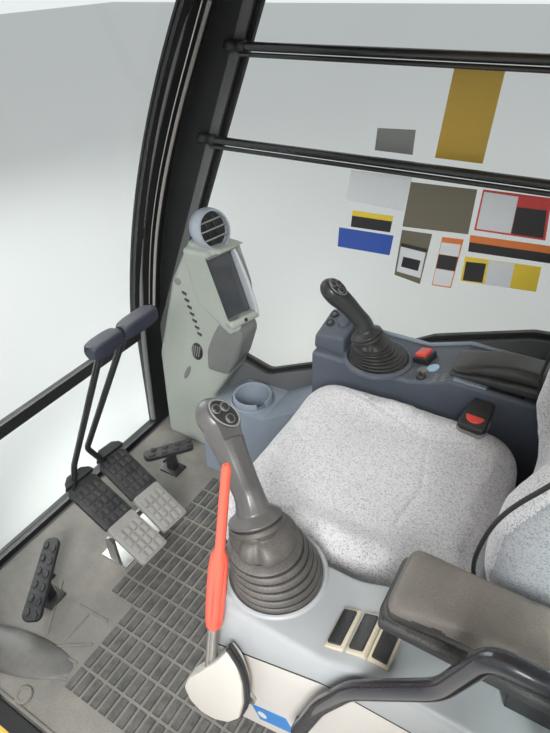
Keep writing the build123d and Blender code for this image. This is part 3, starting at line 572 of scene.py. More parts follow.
put(woven, tones.outputs["Red"], end.inputs["Speckle"])


def cloth(name, pale, dark, yarn=900.0, speckle=330.0, sheen=0.25, dirt=0.18):
    """Woven cloth with pale and dark flecks and a soft sheen."""
    made, tree, shader = new_material(name, pale)
    weave = use_group(tree, woven, yarn=yarn, speckle=speckle)
    fleck = compute(tree, "POWER", weave.outputs["Speckle"], 3.2)
    tone = mix_colour(tree, fleck, (*pale, 1.0), (*dark, 1.0))
    wear = use_group(tree, patchy, color=tone, spread=0.10, scale=5.0, roughness=0.86)
    film = use_group(tree, dusty, color=wear.outputs["Color"], dust=(0.50, 0.47, 0.43, 1.0), amount=dirt,
                     scale=4.0, roughness=wear.outputs["Roughness"])
    put(tree, film.outputs["Color"], shader.inputs["Base Color"])
    put(tree, film.outputs["Roughness"], shader.inputs["Roughness"])
    shader.inputs["Sheen Weight"].default_value = sheen
    shader.inputs["Specular IOR Level"].default_value = 0.2
    raise_bump(tree, weave.outputs["Height"], 0.45, RELIEF)
    return made


seat_cloth = cloth("seat_cloth", (0.70, 0.685, 0.705), (0.33, 0.325, 0.35), speckle=560.0)
side_cloth = cloth("side_cloth", (0.38, 0.38, 0.405), (0.20, 0.20, 0.22), yarn=700.0, speckle=620.0)
print("cloth materials", seat_cloth.name, side_cloth.name)

# %% [markdown]
# ## Finishes on the CAD pieces
# A CAD node keeps its shape and only gets a material. Most of them are listed in
# one table, by finish, so that it is easy to see what shares a finish.

# %% Dress the CAD nodes
CAD_FINISHES = (
    (yellow_lined, ("right_wall", "left_wall", "rear_wall", "roof_panel", "base_frame")),
    (yellow_paint, ("roof_hatch",)),
    (clear_glass, ("right_glass", "quarter_glass", "rear_glass", "upper_front_glass", "lower_front_glass",
                   "door_upper_glass", "door_lower_glass")),
    (pillar_black, ("front_frame", "upper_window_frame", "hatch_hinges", "door_hinges")),
    (groove_rubber, ("floor_mat",)),
    (column_grey, ("monitor_column",)),
    (trim_blue, ("right_trim",)),
    (console_dark, ("right_console",)),
    (seat_plastic, ("right_armrest_post", "left_armrest_post", "console_bracket", "seat_pedestal",
                    "seat_base")),
    (bare_steel, ("seat_rails", "lever_pivot", "pedal_bracket")),
    (black_plastic, ("door_handle",)),
    (handle_black, ("door_grab_bar",)),
    (rod_black, ("guard_bars",)),
)


def wear(piece, material):
    """Give a piece one material."""
    piece.data.materials.clear()
    piece.data.materials.append(material)


for material, names in CAD_FINISHES:
    for node in names:
        wear(NODES[node], material)
print("CAD nodes with a finish", sum(len(names) for _, names in CAD_FINISHES))

# %% [markdown]
# ## Modelling by hand, in code
# New pieces start as a primitive at their size and place, are shaped in edit mode
# and are finished by modifiers that are applied. An operator works on all that is
# selected, so every helper begins by selecting one piece alone.

# %% Pick, settle and modify


def only(piece):
    """Make one piece the selected and active one."""
    bpy.ops.object.select_all(action="DESELECT")
    piece.select_set(True)
    bpy.context.view_layer.objects.active = piece


def settle(piece):
    """Put the piece's place, turn and scale into its mesh."""
    only(piece)
    bpy.ops.object.transform_apply(location=True, rotation=True, scale=True)


def modify(piece, kind, **settings):
    """Add a modifier, set it and apply it."""
    only(piece)
    change = piece.modifiers.new(kind.lower(), kind)
    for key, value in settings.items():
        setattr(change, key, value)
    bpy.ops.object.modifier_apply(modifier=change.name)


def choose(piece, test):
    """Enter edit mode with the faces that pass a test on their middle and normal."""
    only(piece)
    bpy.ops.object.mode_set(mode="EDIT")
    bpy.ops.mesh.select_mode(type="FACE")
    bpy.ops.mesh.select_all(action="DESELECT")
    bpy.ops.object.mode_set(mode="OBJECT")
    for face in piece.data.polygons:
        face.select = test(face.center, face.normal)
    bpy.ops.object.mode_set(mode="EDIT")


def leave():
    """Go back to object mode."""
    bpy.ops.object.mode_set(mode="OBJECT")


def repeat(piece, count, step):
    """Repeat a piece count times, each moved by step from the last."""
    modify(piece, "ARRAY", count=count, use_relative_offset=False, use_constant_offset=True,
           constant_offset_displace=step)


def face_out(piece):
    """Merge doubles and turn every face outwards."""
    only(piece)
    bpy.ops.object.mode_set(mode="EDIT")
    bpy.ops.mesh.select_all(action="SELECT")
    bpy.ops.mesh.remove_doubles(threshold=0.00002)
    bpy.ops.mesh.normals_make_consistent(inside=False)
    leave()


# %% Blocks, slabs, turned pieces and tubes


def block(name, low, high, edge=0.004, rings=3):
    """A box between two corners, its edges rounded."""
    low, high = Vector(low), Vector(high)
    bpy.ops.mesh.primitive_cube_add(size=1, location=(low + high) / 2, scale=high - low)
    piece = bpy.context.active_object
    piece.name = name
    settle(piece)
    if edge:
        modify(piece, "BEVEL", width=edge, segments=rings, limit_method="NONE")
    return piece


def slab(name, outline, low, high, axis="Y", corner=0.0, edge=0.003, rings=3):
    """A prism: an outline in X and Z drawn out along Y, or one in X and Y drawn out along Z."""
    bpy.ops.mesh.primitive_circle_add(vertices=len(outline), radius=1, fill_type="NGON")
    piece = bpy.context.active_object
    piece.name = name
    for vertex, (a, b) in zip(piece.data.vertices, outline):
        vertex.co = (a, low, b) if axis == "Y" else (a, b, low)
    bpy.ops.object.mode_set(mode="EDIT")
    bpy.ops.mesh.select_all(action="SELECT")
    if corner:
        bpy.ops.mesh.bevel(offset=corner, segments=6, affect="VERTICES")
        bpy.ops.mesh.select_all(action="SELECT")
    shift = (0, high - low, 0) if axis == "Y" else (0, 0, high - low)
    bpy.ops.mesh.extrude_region_move(TRANSFORM_OT_translate={"value": shift})
    leave()
    face_out(piece)
    if edge:
        modify(piece, "BEVEL", width=edge, segments=rings, limit_method="ANGLE", angle_limit=math.radians(35))
    return piece


def turned(name, foot, profile, sides=48, closed=True):
    """A round piece on an upright axis: a ring for each (radius, height), from the foot up."""
    radius, height = profile[0]
    bpy.ops.mesh.primitive_circle_add(vertices=sides, radius=radius,
                                      location=Vector(foot) + Vector((0, 0, height)),
                                      fill_type="NGON" if closed else "NOTHING")
    piece = bpy.context.active_object
    piece.name = name
    settle(piece)
    bpy.ops.object.mode_set(mode="EDIT")
    bpy.ops.mesh.select_mode(type="EDGE")
    bpy.ops.mesh.select_all(action="SELECT")
    for wide, high in profile[1:]:
        bpy.ops.mesh.extrude_region_move(TRANSFORM_OT_translate={"value": (0, 0, high - height)})
        bpy.ops.transform.resize(value=(wide / radius, wide / radius, 1),
                                 center_override=Vector(foot) + Vector((0, 0, high)))
        radius, height = wide, high
    leave()
    face_out(piece)
    return piece


def tube(name, points, radius, smooth=True, sides=4, steps=8, widths=None):
    """A round bar along points; smooth bends it gently at each, and widths swell it from point to point."""
    bpy.ops.curve.primitive_nurbs_path_add()
    piece = bpy.context.active_object
    piece.name = name
    line = piece.data
    line.splines.clear()
    run = line.splines.new("NURBS" if smooth else "POLY")
    run.points.add(len(points) - 1)
    for place, point in zip(run.points, points):
        place.co = (*point, 1.0)
    for place, width in zip(run.points, widths or ()):
        place.radius = width
    if smooth:
        run.order_u = 3
        run.use_endpoint_u = True
        run.resolution_u = steps
    line.dimensions = "3D"
    line.bevel_depth = radius
    line.bevel_resolution = sides
    line.use_fill_caps = True
    only(piece)
    bpy.ops.object.convert(target="MESH")
    piece = bpy.context.active_object
    settle(piece)
    face_out(piece)
    return piece


# %% Balls, copies, turns and joins


def posed(place, degrees, axis):
    """A matrix that turns about an axis, then moves to a place."""
    return Matrix.Translation(place) @ Matrix.Rotation(math.radians(degrees), 4, axis)


def place_by(piece, matrix):
    """Move a piece by a matrix, put the move into its mesh, and return the piece."""
    piece.matrix_world = matrix
    settle(piece)
    return piece


def ball(name, place, radii, matrix):
    """A ball with three radii, turned by a matrix."""
    bpy.ops.mesh.primitive_uv_sphere_add(segments=40, ring_count=24, radius=1.0, scale=radii)
    piece = bpy.context.active_object
    piece.name = name
    settle(piece)
    return place_by(piece, Matrix.Translation(place) @ matrix)


def join(name, pieces):
    """Join pieces into one."""
    bpy.ops.object.select_all(action="DESELECT")
    for piece in pieces:
        piece.select_set(True)
    bpy.context.view_layer.objects.active = pieces[0]
    if len(pieces) > 1:
        bpy.ops.object.join()
    pieces[0].name = name
    return pieces[0]


def own_copy(node, name):
    """A closed, merged copy of a CAD node's mesh, to shape further."""
    only(NODES[node])
    bpy.ops.object.duplicate()
    piece = bpy.context.active_object
    piece.name = name
    piece.location = Vector((0, 0, 0))
    settle(piece)
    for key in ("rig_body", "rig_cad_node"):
        if key in piece:
            del piece[key]
    piece.parent = None
    face_out(piece)
    return piece


def present(piece, material, body, replaces=(), angle=38):
    """Finish a piece: smooth it, dress it and let it ride on its body."""
    settle(piece)
    bpy.ops.object.shade_smooth_by_angle(angle=math.radians(angle))
    if material:
        wear(piece, material)
    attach(piece, body)
    if replaces:
        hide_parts(*replaces)
    return piece


print("helpers ready")

# %% [markdown]
# ## The floor mat
# A cab's mat is one rubber moulding with raised bricks that keep boots off the
# dirt. The bricks could be bump, but they show their sides in this low view, so
# one brick is modelled and two arrays lay the field. The strip by the windscreen
# is plain, with a few ribs.

# %% Bricks
MAT_TOP = mat_high.z
BRICK = Vector((0.0205, 0.051, 0.0035))
BRICK_TAPER = (0.84, 0.93, 1)
PITCH_X, PITCH_Y = 0.0262, 0.0575


def brick_field(name, first, columns, rows):
    """Bricks from the corner first, towards the rear and to the right."""
    corner = Vector((*first, MAT_TOP))
    brick = block(name, corner - Vector((BRICK.x, BRICK.y, 0.001)), corner + Vector((0, 0, BRICK.z)), edge=0)
    choose(brick, lambda middle, normal: normal.z > 0.9)
    bpy.ops.transform.resize(value=BRICK_TAPER)
    leave()
    repeat(brick, columns, (-PITCH_X, 0, 0))
    repeat(brick, rows, (0, -PITCH_Y, 0))
    return brick


FIELD_X, FIELD_Y = 0.346, 0.386
front_field = brick_field("front", (FIELD_X, FIELD_Y), 14, 12)
door_field = brick_field("door", (FIELD_X - 14 * PITCH_X, FIELD_Y), 20, 4)
pedal_field = brick_field("pedal", (FIELD_X + 3 * PITCH_X, FIELD_Y - 4 * PITCH_Y), 3, 8)
mat_bricks = present(join("mat_bricks", [front_field, door_field, pedal_field]), brick_rubber, "cab")
print("mat bricks, faces", len(mat_bricks.data.polygons))

# %% Ribs, cap and border
ribs = []
RIBS = (((0.429, 0.313), (0.428, 0.232)), ((0.483, 0.349), (0.360, 0.334)), ((0.436, 0.331), (0.362, 0.282)),
        ((0.400, 0.385), (0.352, 0.373)), ((0.469, 0.226), (0.372, 0.222)), ((0.560, 0.199), (0.478, 0.324)))
for first, second in RIBS:
    first, second = Vector((*first, MAT_TOP)), Vector((*second, MAT_TOP))
    run = second - first
    rib = block("rib", (0, -0.0032, -0.002), (run.length, 0.0032, 0.0026), edge=0.0016, rings=2)
    ribs.append(place_by(rib, Matrix.Translation(first) @ Matrix.Rotation(math.atan2(run.y, run.x), 4, "Z")))
cap = turned("cap", (0.411, 0.446, MAT_TOP), ((0.0205, -0.001), (0.0205, 0.003), (0.018, 0.006),
                                              (0.013, 0.0065), (0.012, 0.0045), (0.001, 0.0045)), sides=32)
mat_x_low, mat_x_high = mat_low.x + 0.006, mat_high.x - 0.006
for side in (-1, 1):
    y = side * (mat_high.y - 0.008)
    ribs.append(block("border", (mat_x_low + 0.03, y - 0.004, MAT_TOP - 0.002),
                      (mat_x_high - 0.03, y + 0.004, MAT_TOP + 0.004), edge=0.002, rings=2))
present(join("mat_trim", [cap, *ribs]), groove_rubber, "cab")
print("ribs on the mat", len(ribs))

# %% [markdown]
# The mat swells over the frame beside the left front pillar, in a smooth ridge
# that fades out among the bricks. A long, low ball sunk in the mat is that form,
# with its rear end drawn down by moving the vertices there.

# %% Ridge by the pillar's foot
RIDGE_FROM, RIDGE_TO = 0.352, 0.690
ridge = ball("mat_ridge", Vector(((RIDGE_FROM + RIDGE_TO) / 2, 0.392, MAT_TOP - 0.006)),
             ((RIDGE_TO - RIDGE_FROM) / 2, 0.052, 0.040), Matrix.Rotation(math.radians(14), 4, "Z"))
for vertex in ridge.data.vertices:
    share = max(0.0, min(1.0, (vertex.co.x - RIDGE_FROM) / (RIDGE_TO - RIDGE_FROM)))
    vertex.co.z = max(MAT_TOP - 0.004, MAT_TOP + (vertex.co.z - MAT_TOP) * (0.30 + 0.70 * share))
present(ridge, smooth_rubber, "cab", angle=60)
print("ridge length", round(RIDGE_TO - RIDGE_FROM, 3))

# %% [markdown]
# ## The travel pedals
# Each track has a pedal plate with a rubber cover: a square heel end, a hexagonal
# toe end with a raised guard, and rows of raised blocks. The covers are pale grey
# at the heel end and black at the toe end. They are drawn flat about the pad's
# middle, and one matrix leans them onto the CAD plates.

# %% Pads
PAD_W, PAD_T = 0.086, 0.012
BLOCKS = Vector((0.0225, 0.0135, 0.003))
BLOCK_X, BLOCK_Y = 0.0262, 0.0185
HEEL_SHARE, TOE_SHARE, TOE_CUT = 0.44, 0.52, 0.030
# Columns: name, heel, toe, body
TRAVEL = (("left", (0.342, 0.052, 0.152), (0.625, 0.032, 0.267), "left_travel"),
          ("right", (0.360, -0.052, 0.152), (0.624, -0.083, 0.267), "right_travel"))


def pad_matrix(heel, toe):
    """Stand a flat pad, drawn along +X, on the line from heel to toe."""
    along = (Vector(toe) - Vector(heel)).normalized()
    across = Vector((0, 0, 1)).cross(along).normalized()
    up = along.cross(across)
    turn = Matrix((along, across, up)).transposed().to_4x4()
    return Matrix.Translation((Vector(heel) + Vector(toe)) / 2) @ turn


def pad_outline(length, width, start, stop):
    """The part of the pad between two shares of its length, its toe cut to a hexagon."""
    half, toe = width / 2, length / 2
    widths = ((-toe, half), (toe - TOE_CUT, half), (toe, half * TOE_SHARE))
    low, high = -toe + length * start, -toe + length * stop
    end = (high, half if stop < 1 else half * TOE_SHARE)
    upper = [(low, half)] + [(x, w) for x, w in widths if low < x < high - 0.001] + [end]
    return upper + [(x, -w) for x, w in reversed(upper)]


for name, heel, toe, body in TRAVEL:
    length = (Vector(toe) - Vector(heel)).length
    matrix = pad_matrix(heel, toe)
    heel_pad = slab("heel", pad_outline(length, PAD_W, 0.0, HEEL_SHARE), -PAD_T - 0.002, 0.002, axis="Z",
                    corner=0.008, edge=0.002)
    toe_pad = slab("toe", pad_outline(length, PAD_W + 0.004, HEEL_SHARE, 1.0), -PAD_T - 0.002, 0.0025,
                   axis="Z", edge=0.002)
    tiles = []
    for skipped, count in ((0, 4), (5, 5)):
        corner = Vector((-length / 2 + 0.006 + skipped * BLOCK_X, -PAD_W / 2 + 0.0075, 0.001))
        tile = block("tile", corner, corner + BLOCKS + Vector((0, 0, 0.002)), edge=0.0012, rings=2)
        repeat(tile, count, (BLOCK_X, 0, 0))
        repeat(tile, 4, (0, BLOCK_Y, 0))
        tiles.append(tile)
    guard = slab("guard", pad_outline(length, PAD_W + 0.010, 0.93, 1.0), 0.0, 0.024, axis="Z", edge=0.004)
    choose(guard, lambda middle, normal: normal.z > 0.9)
    bpy.ops.transform.resize(value=(0.75, 0.94, 1))
    bpy.ops.transform.translate(value=(0.008, 0, 0))
    leave()
    heel_end = place_by(join("pedal_heel_" + name, [heel_pad, tiles[0]]), matrix)
    toe_end = place_by(join("pedal_toe_" + name, [toe_pad, tiles[1], guard]), matrix)
    present(heel_end, pedal_pale, body, replaces=["travel_pedal_" + name])
    present(toe_end, pedal_black, body)
    print("pedal", name, "leans", round(math.degrees(matrix.to_euler().y), 1), "degrees")

# %% [markdown]
# The covers replace the CAD pedals, so the plate under them and the ear that turns
# on the pin have to be made again, in steel, in the same place.

# %% Pedal plates
PIN = Vector((0.480, 0.0, 0.140))
for name, heel, toe, body in TRAVEL:
    middle = (heel[1] + toe[1]) / 2
    plate = slab("plate", ((-0.140, -0.030), (0.120, -0.030), (0.120, 0.030), (-0.140, 0.030)),
                 -PAD_T - 0.006, -PAD_T, axis="Z", corner=0.006, edge=0.001)
    place_by(plate, pad_matrix(heel, toe))
    ear = slab("ear", ((PIN.x - 0.017, PIN.z - 0.010), (PIN.x + 0.017, PIN.z - 0.010),
                       (PIN.x + 0.013, PIN.z + 0.044), (PIN.x - 0.013, PIN.z + 0.044)), middle - 0.014,
               middle + 0.014, corner=0.007, edge=0.001)
    present(join("pedal_plate_" + name, [plate, ear]), bare_steel, body)
print("pedal pin at", tuple(PIN))

# %% [markdown]
# ## The travel levers' grips
# Each pedal carries a bent rod with a rubber grip across its top. The rods are
# right as CAD tubes. The grips are soft rounded bars, so a subdivided block with a
# slight waist stands over each CAD cylinder.

# %% Rods and grips
GRIP_X, GRIP_Z, ROD_COVER = 0.440, 0.725, 0.0158
# Columns: name, near end, far end, body
GRIPS = (("left", 0.016, -0.072, "left_travel"), ("right", -0.078, -0.186, "right_travel"))
for name, near, far, body in GRIPS:
    wear(NODES["travel_lever_" + name], rod_black)
    grip = block("travel_grip_" + name, (0.4195, far, GRIP_Z - 0.0185), (0.4605, near, GRIP_Z + 0.0185),
                 edge=0)
    choose(grip, lambda middle, normal: True)
    bpy.ops.mesh.subdivide(number_cuts=3)
    leave()
    choose(grip, lambda middle, normal: abs(normal.y) > 0.9)
    bpy.ops.transform.resize(value=(0.86, 1, 0.82))
    leave()
    modify(grip, "SUBSURF", levels=2, render_levels=2)
    for vertex in grip.data.vertices:
        out = vertex.co - Vector((GRIP_X, vertex.co.y, GRIP_Z))
        if out.length < ROD_COVER:
            vertex.co += out.normalized() * (ROD_COVER - out.length)
    present(grip, lever_grip_blue, body)
print("grips at height", GRIP_Z)

# %% [markdown]
# ## The side pedals
# A narrow pedal stands on each side for the attachments. Its pad is a long slot
# with two rows of oval studs, on a small bracket. One stud is modelled and
# copied down the pad.

# %% Studded pads
# Columns: name, inner end, outer end
SIDE = (("left", (0.607, 0.160, 0.160), (0.500, 0.335, 0.124)),
        ("right", (0.600, -0.201, 0.160), (0.524, -0.331, 0.140)))
STUD = ((0.0075, -0.001), (0.0075, 0.003), (0.0062, 0.0048), (0.003, 0.0050), (0.0005, 0.0044))
STUD_PITCH = 0.034
for name, inner, outer in SIDE:
    reach = (Vector(outer) - Vector(inner)).length
    half = 0.024
    pad = slab("pad", ((-reach / 2 - 0.006, -half + 0.004), (reach / 2, -half), (reach / 2, half),
                       (-reach / 2 - 0.006, half - 0.004)),
               -0.016, 0.001, axis="Z", corner=0.016, edge=0.004)
    studs = []
    count = int(reach / STUD_PITCH)
    for row, y in enumerate((-0.0105, 0.0105)):
        for step in range(count):
            x = -reach / 2 + 0.020 + step * (reach - 0.036) / (count - 1) + (0.007 if row else -0.003)
            at = Matrix.Translation((x, y, 0.001)) @ Matrix.Diagonal((1.35, 0.95, 1, 1))
            studs.append(place_by(turned("stud", (0, 0, 0), STUD, sides=16), at))
    pad = place_by(join("side_pad_" + name, [pad, *studs]), pad_matrix(inner, outer))
    present(pad, pedal_black, "cab", replaces=["side_pedal_" + name])
    post = (Vector(inner) + Vector(outer)) / 2
    arm = slab("arm", ((post.x - 0.016, MAT_TOP), (post.x + 0.016, MAT_TOP), (post.x + 0.010, post.z - 0.010),
                       (post.x - 0.010, post.z - 0.010)), post.y - 0.012, post.y + 0.012, edge=0.002)
    base = block("base", (post.x - 0.034, post.y - 0.026, MAT_TOP - 0.001),
                 (post.x + 0.034, post.y + 0.026, MAT_TOP + 0.006), edge=0.002)
    pin = tube("pin", ((post.x, post.y - 0.034, post.z - 0.030), (post.x, post.y + 0.034, post.z - 0.030)),
               0.0045, smooth=False)
    present(join("side_bracket_" + name, [arm, base, pin]), pillar_black, "cab")
print("side pedals", len(SIDE))

# %% [markdown]
# ## The left console
# The arm of the console is two mouldings: a cool grey cover with large soft
# edges over a warm white lower panel, with a slanted seam between them. They
# could be one shape with two colours, but the real joint is a step that catches
# the light, so each is its own slab and the cover stands a little proud.

# %% Cover and lower panel
left_low, left_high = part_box("left_console")
STICK_Z = left_high.z - 0.024
cover = slab("left_cover", ((-0.056, 0.500), (-0.056, 0.606), (-0.092, STICK_Z), (-0.250, STICK_Z),
                            (-0.300, left_high.z), (-0.621, left_high.z), (-0.621, 0.598), (-0.260, 0.578),
                            (-0.108, 0.520)),
             left_low.y, left_high.y + 0.002, corner=0.016, edge=0.020, rings=5)
present(cover, cover_grey, "console", replaces=["left_console"])
panel = slab("left_panel", ((-0.062, 0.262), (-0.062, 0.506), (-0.110, 0.524), (-0.262, 0.582),
                            (-0.616, 0.602), (-0.616, 0.382), (-0.200, 0.310)), left_low.y + 0.003,
             left_high.y - 0.001, corner=0.014, edge=0.006)
present(panel, panel_white, "console")
SEAM_Y = left_high.y - 0.001
seam = tube("left_seam", ((-0.060, SEAM_Y, 0.503), (-0.109, SEAM_Y, 0.522),
                          (-0.261, SEAM_Y, 0.580), (-0.618, SEAM_Y, 0.600)), 0.0022, smooth=False)
present(seam, seal_rubber_and_shade, "console")
print("console cover from", round(left_low.x, 3), "to", round(left_high.x, 3))

# %% Switches in their cream surrounds
switches, surrounds = [], []
SWITCH_PITCH = 0.0305
STEP_X, STEP_UP = -0.250, 0.024
slope = math.atan2(STEP_UP, 0.050)
for number in range(3):
    x = -0.262 - number * SWITCH_PITCH
    z = STICK_Z + max(0.0, min(STEP_UP, (STEP_X - x) * 0.48)) + 0.001
    lean = Matrix.Translation((x, 0.250, z)) @ Matrix.Rotation(slope if number < 2 else 0.0, 4, "Y")
    rim = block("rim", (-0.0145, -0.032, -0.006), (0.0145, 0.032, 0.003), edge=0.002)
    rocker = block("rocker", (-0.0105, -0.027, -0.002), (0.0105, 0.027, 0.0065), edge=0.002)
    choose(rocker, lambda middle, normal: normal.z > 0.9 and abs(middle.y) < 0.02)
    bpy.ops.transform.translate(value=(0, 0, -0.0014))
    leave()
    surrounds.append(place_by(rim, lean))
    switches.append(place_by(rocker, lean))
present(join("left_switch_rims", surrounds), switch_cream, "console")
present(join("left_switches", switches), black_plastic, "console")
print("rocker switches", len(switches))

# %% Label, mark and collar
label_turn = posed((-0.168, left_high.y - 0.0005, 0.355), 22, "Y")
label = block("left_label", (-0.036, -0.001, -0.020), (0.036, 0.0012, 0.020), edge=0.0004, rings=1)
present(place_by(label, label_turn), label_blue, "console")
mark = turned("label_mark", (0, 0, 0), ((0.009, 0.0), (0.009, 0.0006), (0.0001, 0.0006)), sides=24)
on_label = posed((0.022, 0.0010, 0.0), -90, "X")
present(place_by(mark, label_turn @ on_label), panel_white, "console")
boot_low, boot_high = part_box("left_boot")
LEFT_FOOT = Vector(((boot_low.x + boot_high.x) / 2, (boot_low.y + boot_high.y) / 2, STICK_Z))
boot_low, boot_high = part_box("right_boot")
RIGHT_FOOT = Vector(((boot_low.x + boot_high.x) / 2, (boot_low.y + boot_high.y) / 2, STICK_Z))
collar = turned("left_collar", LEFT_FOOT, ((0.0790, -0.003), (0.0780, 0.0010), (0.0755, 0.0034),
                                           (0.0725, 0.0038), (0.0708, 0.0020), (0.0700, -0.003)), sides=64,
                closed=False)
present(collar, cover_grey, "console")
print("stick foot", tuple(round(c, 3) for c in LEFT_FOOT))

# %% [markdown]
# ## Bellows
# A joystick's boot is a stack of rubber folds, wide below and narrow at the
# neck. The folds are rings that step in and out, made by a loop.

# %% Bellows


def bellows(name, rubber, foot, folds, wide, narrow, neck, height, lip, gap, lean):
    """Rubber folds from the foot up, each a broad band under a gap painted black as shade, then a cone; lean
    moves the top.
    """
    profile = [(wide - lip, -0.001)]
    rise = height / folds
    for fold in range(folds):
        radius = wide + (narrow - wide) * (fold / folds) ** 1.15
        base, top = fold * rise, (fold + 1) * rise - gap
        profile += [(radius - 0.0012, base + 0.0001), (radius - 0.0002, base + 0.0009),
                    (radius, base + 0.0022), (radius - 0.0022, top - 0.0018), (radius - 0.0030, top - 0.0007),
                    (radius - 0.0044, top), (radius - lip, top + 0.0003), (radius - lip, top + gap - 0.0002)]
    profile += [(narrow - 0.001, height), (narrow - 0.004, height + 0.0025), (neck, height + 0.006),
                (neck - 0.003, height + 0.003)]
    piece = turned(name, foot, profile, sides=96, closed=False)
    piece.data.materials.append(rubber)
    piece.data.materials.append(seal_rubber_and_shade)
    # Faces in the gaps between folds get black rubber as painted shade.
    for polygon in piece.data.polygons:
        share = (polygon.center.z - foot.z) % rise
        in_shaded_gap = share > rise - gap * 1.25 and polygon.center.z < foot.z + height - 0.001
        polygon.material_index = 1 if in_shaded_gap else 0
    for vertex in piece.data.vertices:
        share = max(0.0, min(1.0, (vertex.co.z - foot.z) / height))
        vertex.co += lean * share ** 1.4
    return piece


LEFT_TOP = Vector((-0.005, 0.155, 0.842))
RIGHT_TOP = Vector((0.048, -0.337, 0.803))
left_lean = Vector((0.019, -0.001, 0.0))
right_lean = Vector((0.014, 0.012, 0.0))
left_bellows = bellows("left_bellows", boot_rubber, LEFT_FOOT, 5, 0.0700, 0.0565, 0.043, 0.054, 0.0100,
                       0.0028, left_lean)
present(left_bellows, None, "console", replaces=["left_boot"])
right_bellows = bellows("right_bellows", boot_black, RIGHT_FOOT, 6, 0.0690, 0.044, 0.031, 0.040, 0.0085,
                        0.0024, right_lean)
present(right_bellows, None, "cab", replaces=["right_boot"])
for piece, body, stick, foot in ((left_bellows, "console", "left_stick", LEFT_FOOT),
                                 (right_bellows, "cab", "right_stick", RIGHT_FOOT)):
    piece.parent = None
    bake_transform(piece)
print("bellows faces", len(left_bellows.data.polygons), len(right_bellows.data.polygons))

# %% [markdown]
# ## Joysticks
# The grip is one moulding that swells from a narrow neck to a head with a flat
# face of buttons. Rings alone would leave the head a plain bulb. So a bent tube,
# a flattened ball and a flared skirt are joined, and a voxel Remesh melts them
# into one skin, which a Smooth modifier then eases.

# %% Grip, skirt and head


def aimed(place, direction):
    """A matrix that turns +Z to a direction at a place."""
    return Matrix.Translation(Vector(place)) @ Vector(direction).to_track_quat("Z", "Y").to_matrix().to_4x4()


def joystick(side, neck, top, face, lie, size, material, body, node):
    """A grip from its skirt to its head; the buttons look along face, and lie is the head's long way."""
    reach = top - neck
    rise = Vector((0, 0, 1))
    spine = [neck - rise * 0.006, neck + rise * 0.018 + reach * 0.04, neck + reach * 0.30 + rise * 0.012,
             neck + reach * 0.62 + rise * 0.010, neck + reach * 0.88, top]
    widths = (0.0260, 0.0190, 0.0195, 0.0215, 0.0250, 0.0250)
    grip = tube("grip", spine, 1.0, sides=6, widths=[width * size for width in widths])
    face = Vector(face).normalized()
    lie = Vector(lie)
    along = (lie - face * lie.dot(face)).normalized()
    across = face.cross(along)
    turn = Matrix((along, across, face)).transposed().to_4x4()
    middle = top + face * 0.001
    head = ball("head", middle, Vector((0.0330, 0.0265, 0.0240)) * size, turn)
    tip = aimed((0, 0, 0), Vector((reach.x, reach.y,
                                   0)) * 0.70 + rise * reach.length) @ Matrix.Scale(size / LEFT_SIZE, 4)
    skirt = turned("skirt", (0, 0, 0), ((0.0340, -0.0072), (0.0395, -0.0064), (0.0402, -0.0046),
                                        (0.0345, 0.000), (0.026, 0.007), (0.0205, 0.018)), sides=48)
    piece = join(side + "_grip", [grip, head, place_by(skirt, Matrix.Translation(neck) @ tip)])
    modify(piece, "REMESH", mode="VOXEL", voxel_size=0.0015)
    modify(piece, "SMOOTH", factor=0.5, iterations=5)
    flat = middle + face * 0.0165 * size
    for vertex in piece.data.vertices:
        over = (vertex.co - flat).dot(face)
        if over > 0 and (vertex.co - middle).length < 0.041 * size:
            vertex.co -= face * over
    ring = turned(side + "_neck_ring", (0, 0, 0), ((0.0330, -0.0190), (0.0405, -0.0182), (0.0415, -0.0165),
                                                   (0.0405, -0.0105), (0.0390, -0.0096), (0.0340, -0.0092),
                                                   (0.0330, -0.0075)), sides=64, closed=False)
    place_by(ring, Matrix.Translation(neck) @ tip)
    present(ring, boot_rubber if side == "left" else boot_black, body)
    present(piece, material, body, replaces=[node], angle=50)
    return flat, turn


LEFT_SIZE, RIGHT_SIZE = 1.12, 0.98
LEFT_NECK = LEFT_FOOT + left_lean + Vector((0.014, 0.002, 0.112))
RIGHT_NECK = RIGHT_FOOT + right_lean + Vector((0.012, 0.008, 0.074))
left_flat, left_turn = joystick("left", LEFT_NECK, LEFT_TOP, (-0.60, -0.04, 0.80), (0.76, 0.22, 0.60),
                                LEFT_SIZE, grip_grey, "left_stick", "left_joystick")
right_flat, right_turn = joystick("right", RIGHT_NECK, RIGHT_TOP, (-0.60, 0.12, 0.79), (0.78, 0.10, 0.55),
                                  RIGHT_SIZE, grip_black, "right_stick", "right_joystick")
print("grips made, heads at", tuple(round(c, 3) for c in left_flat), tuple(round(c, 3) for c in right_flat))

# %% Button plates on the heads


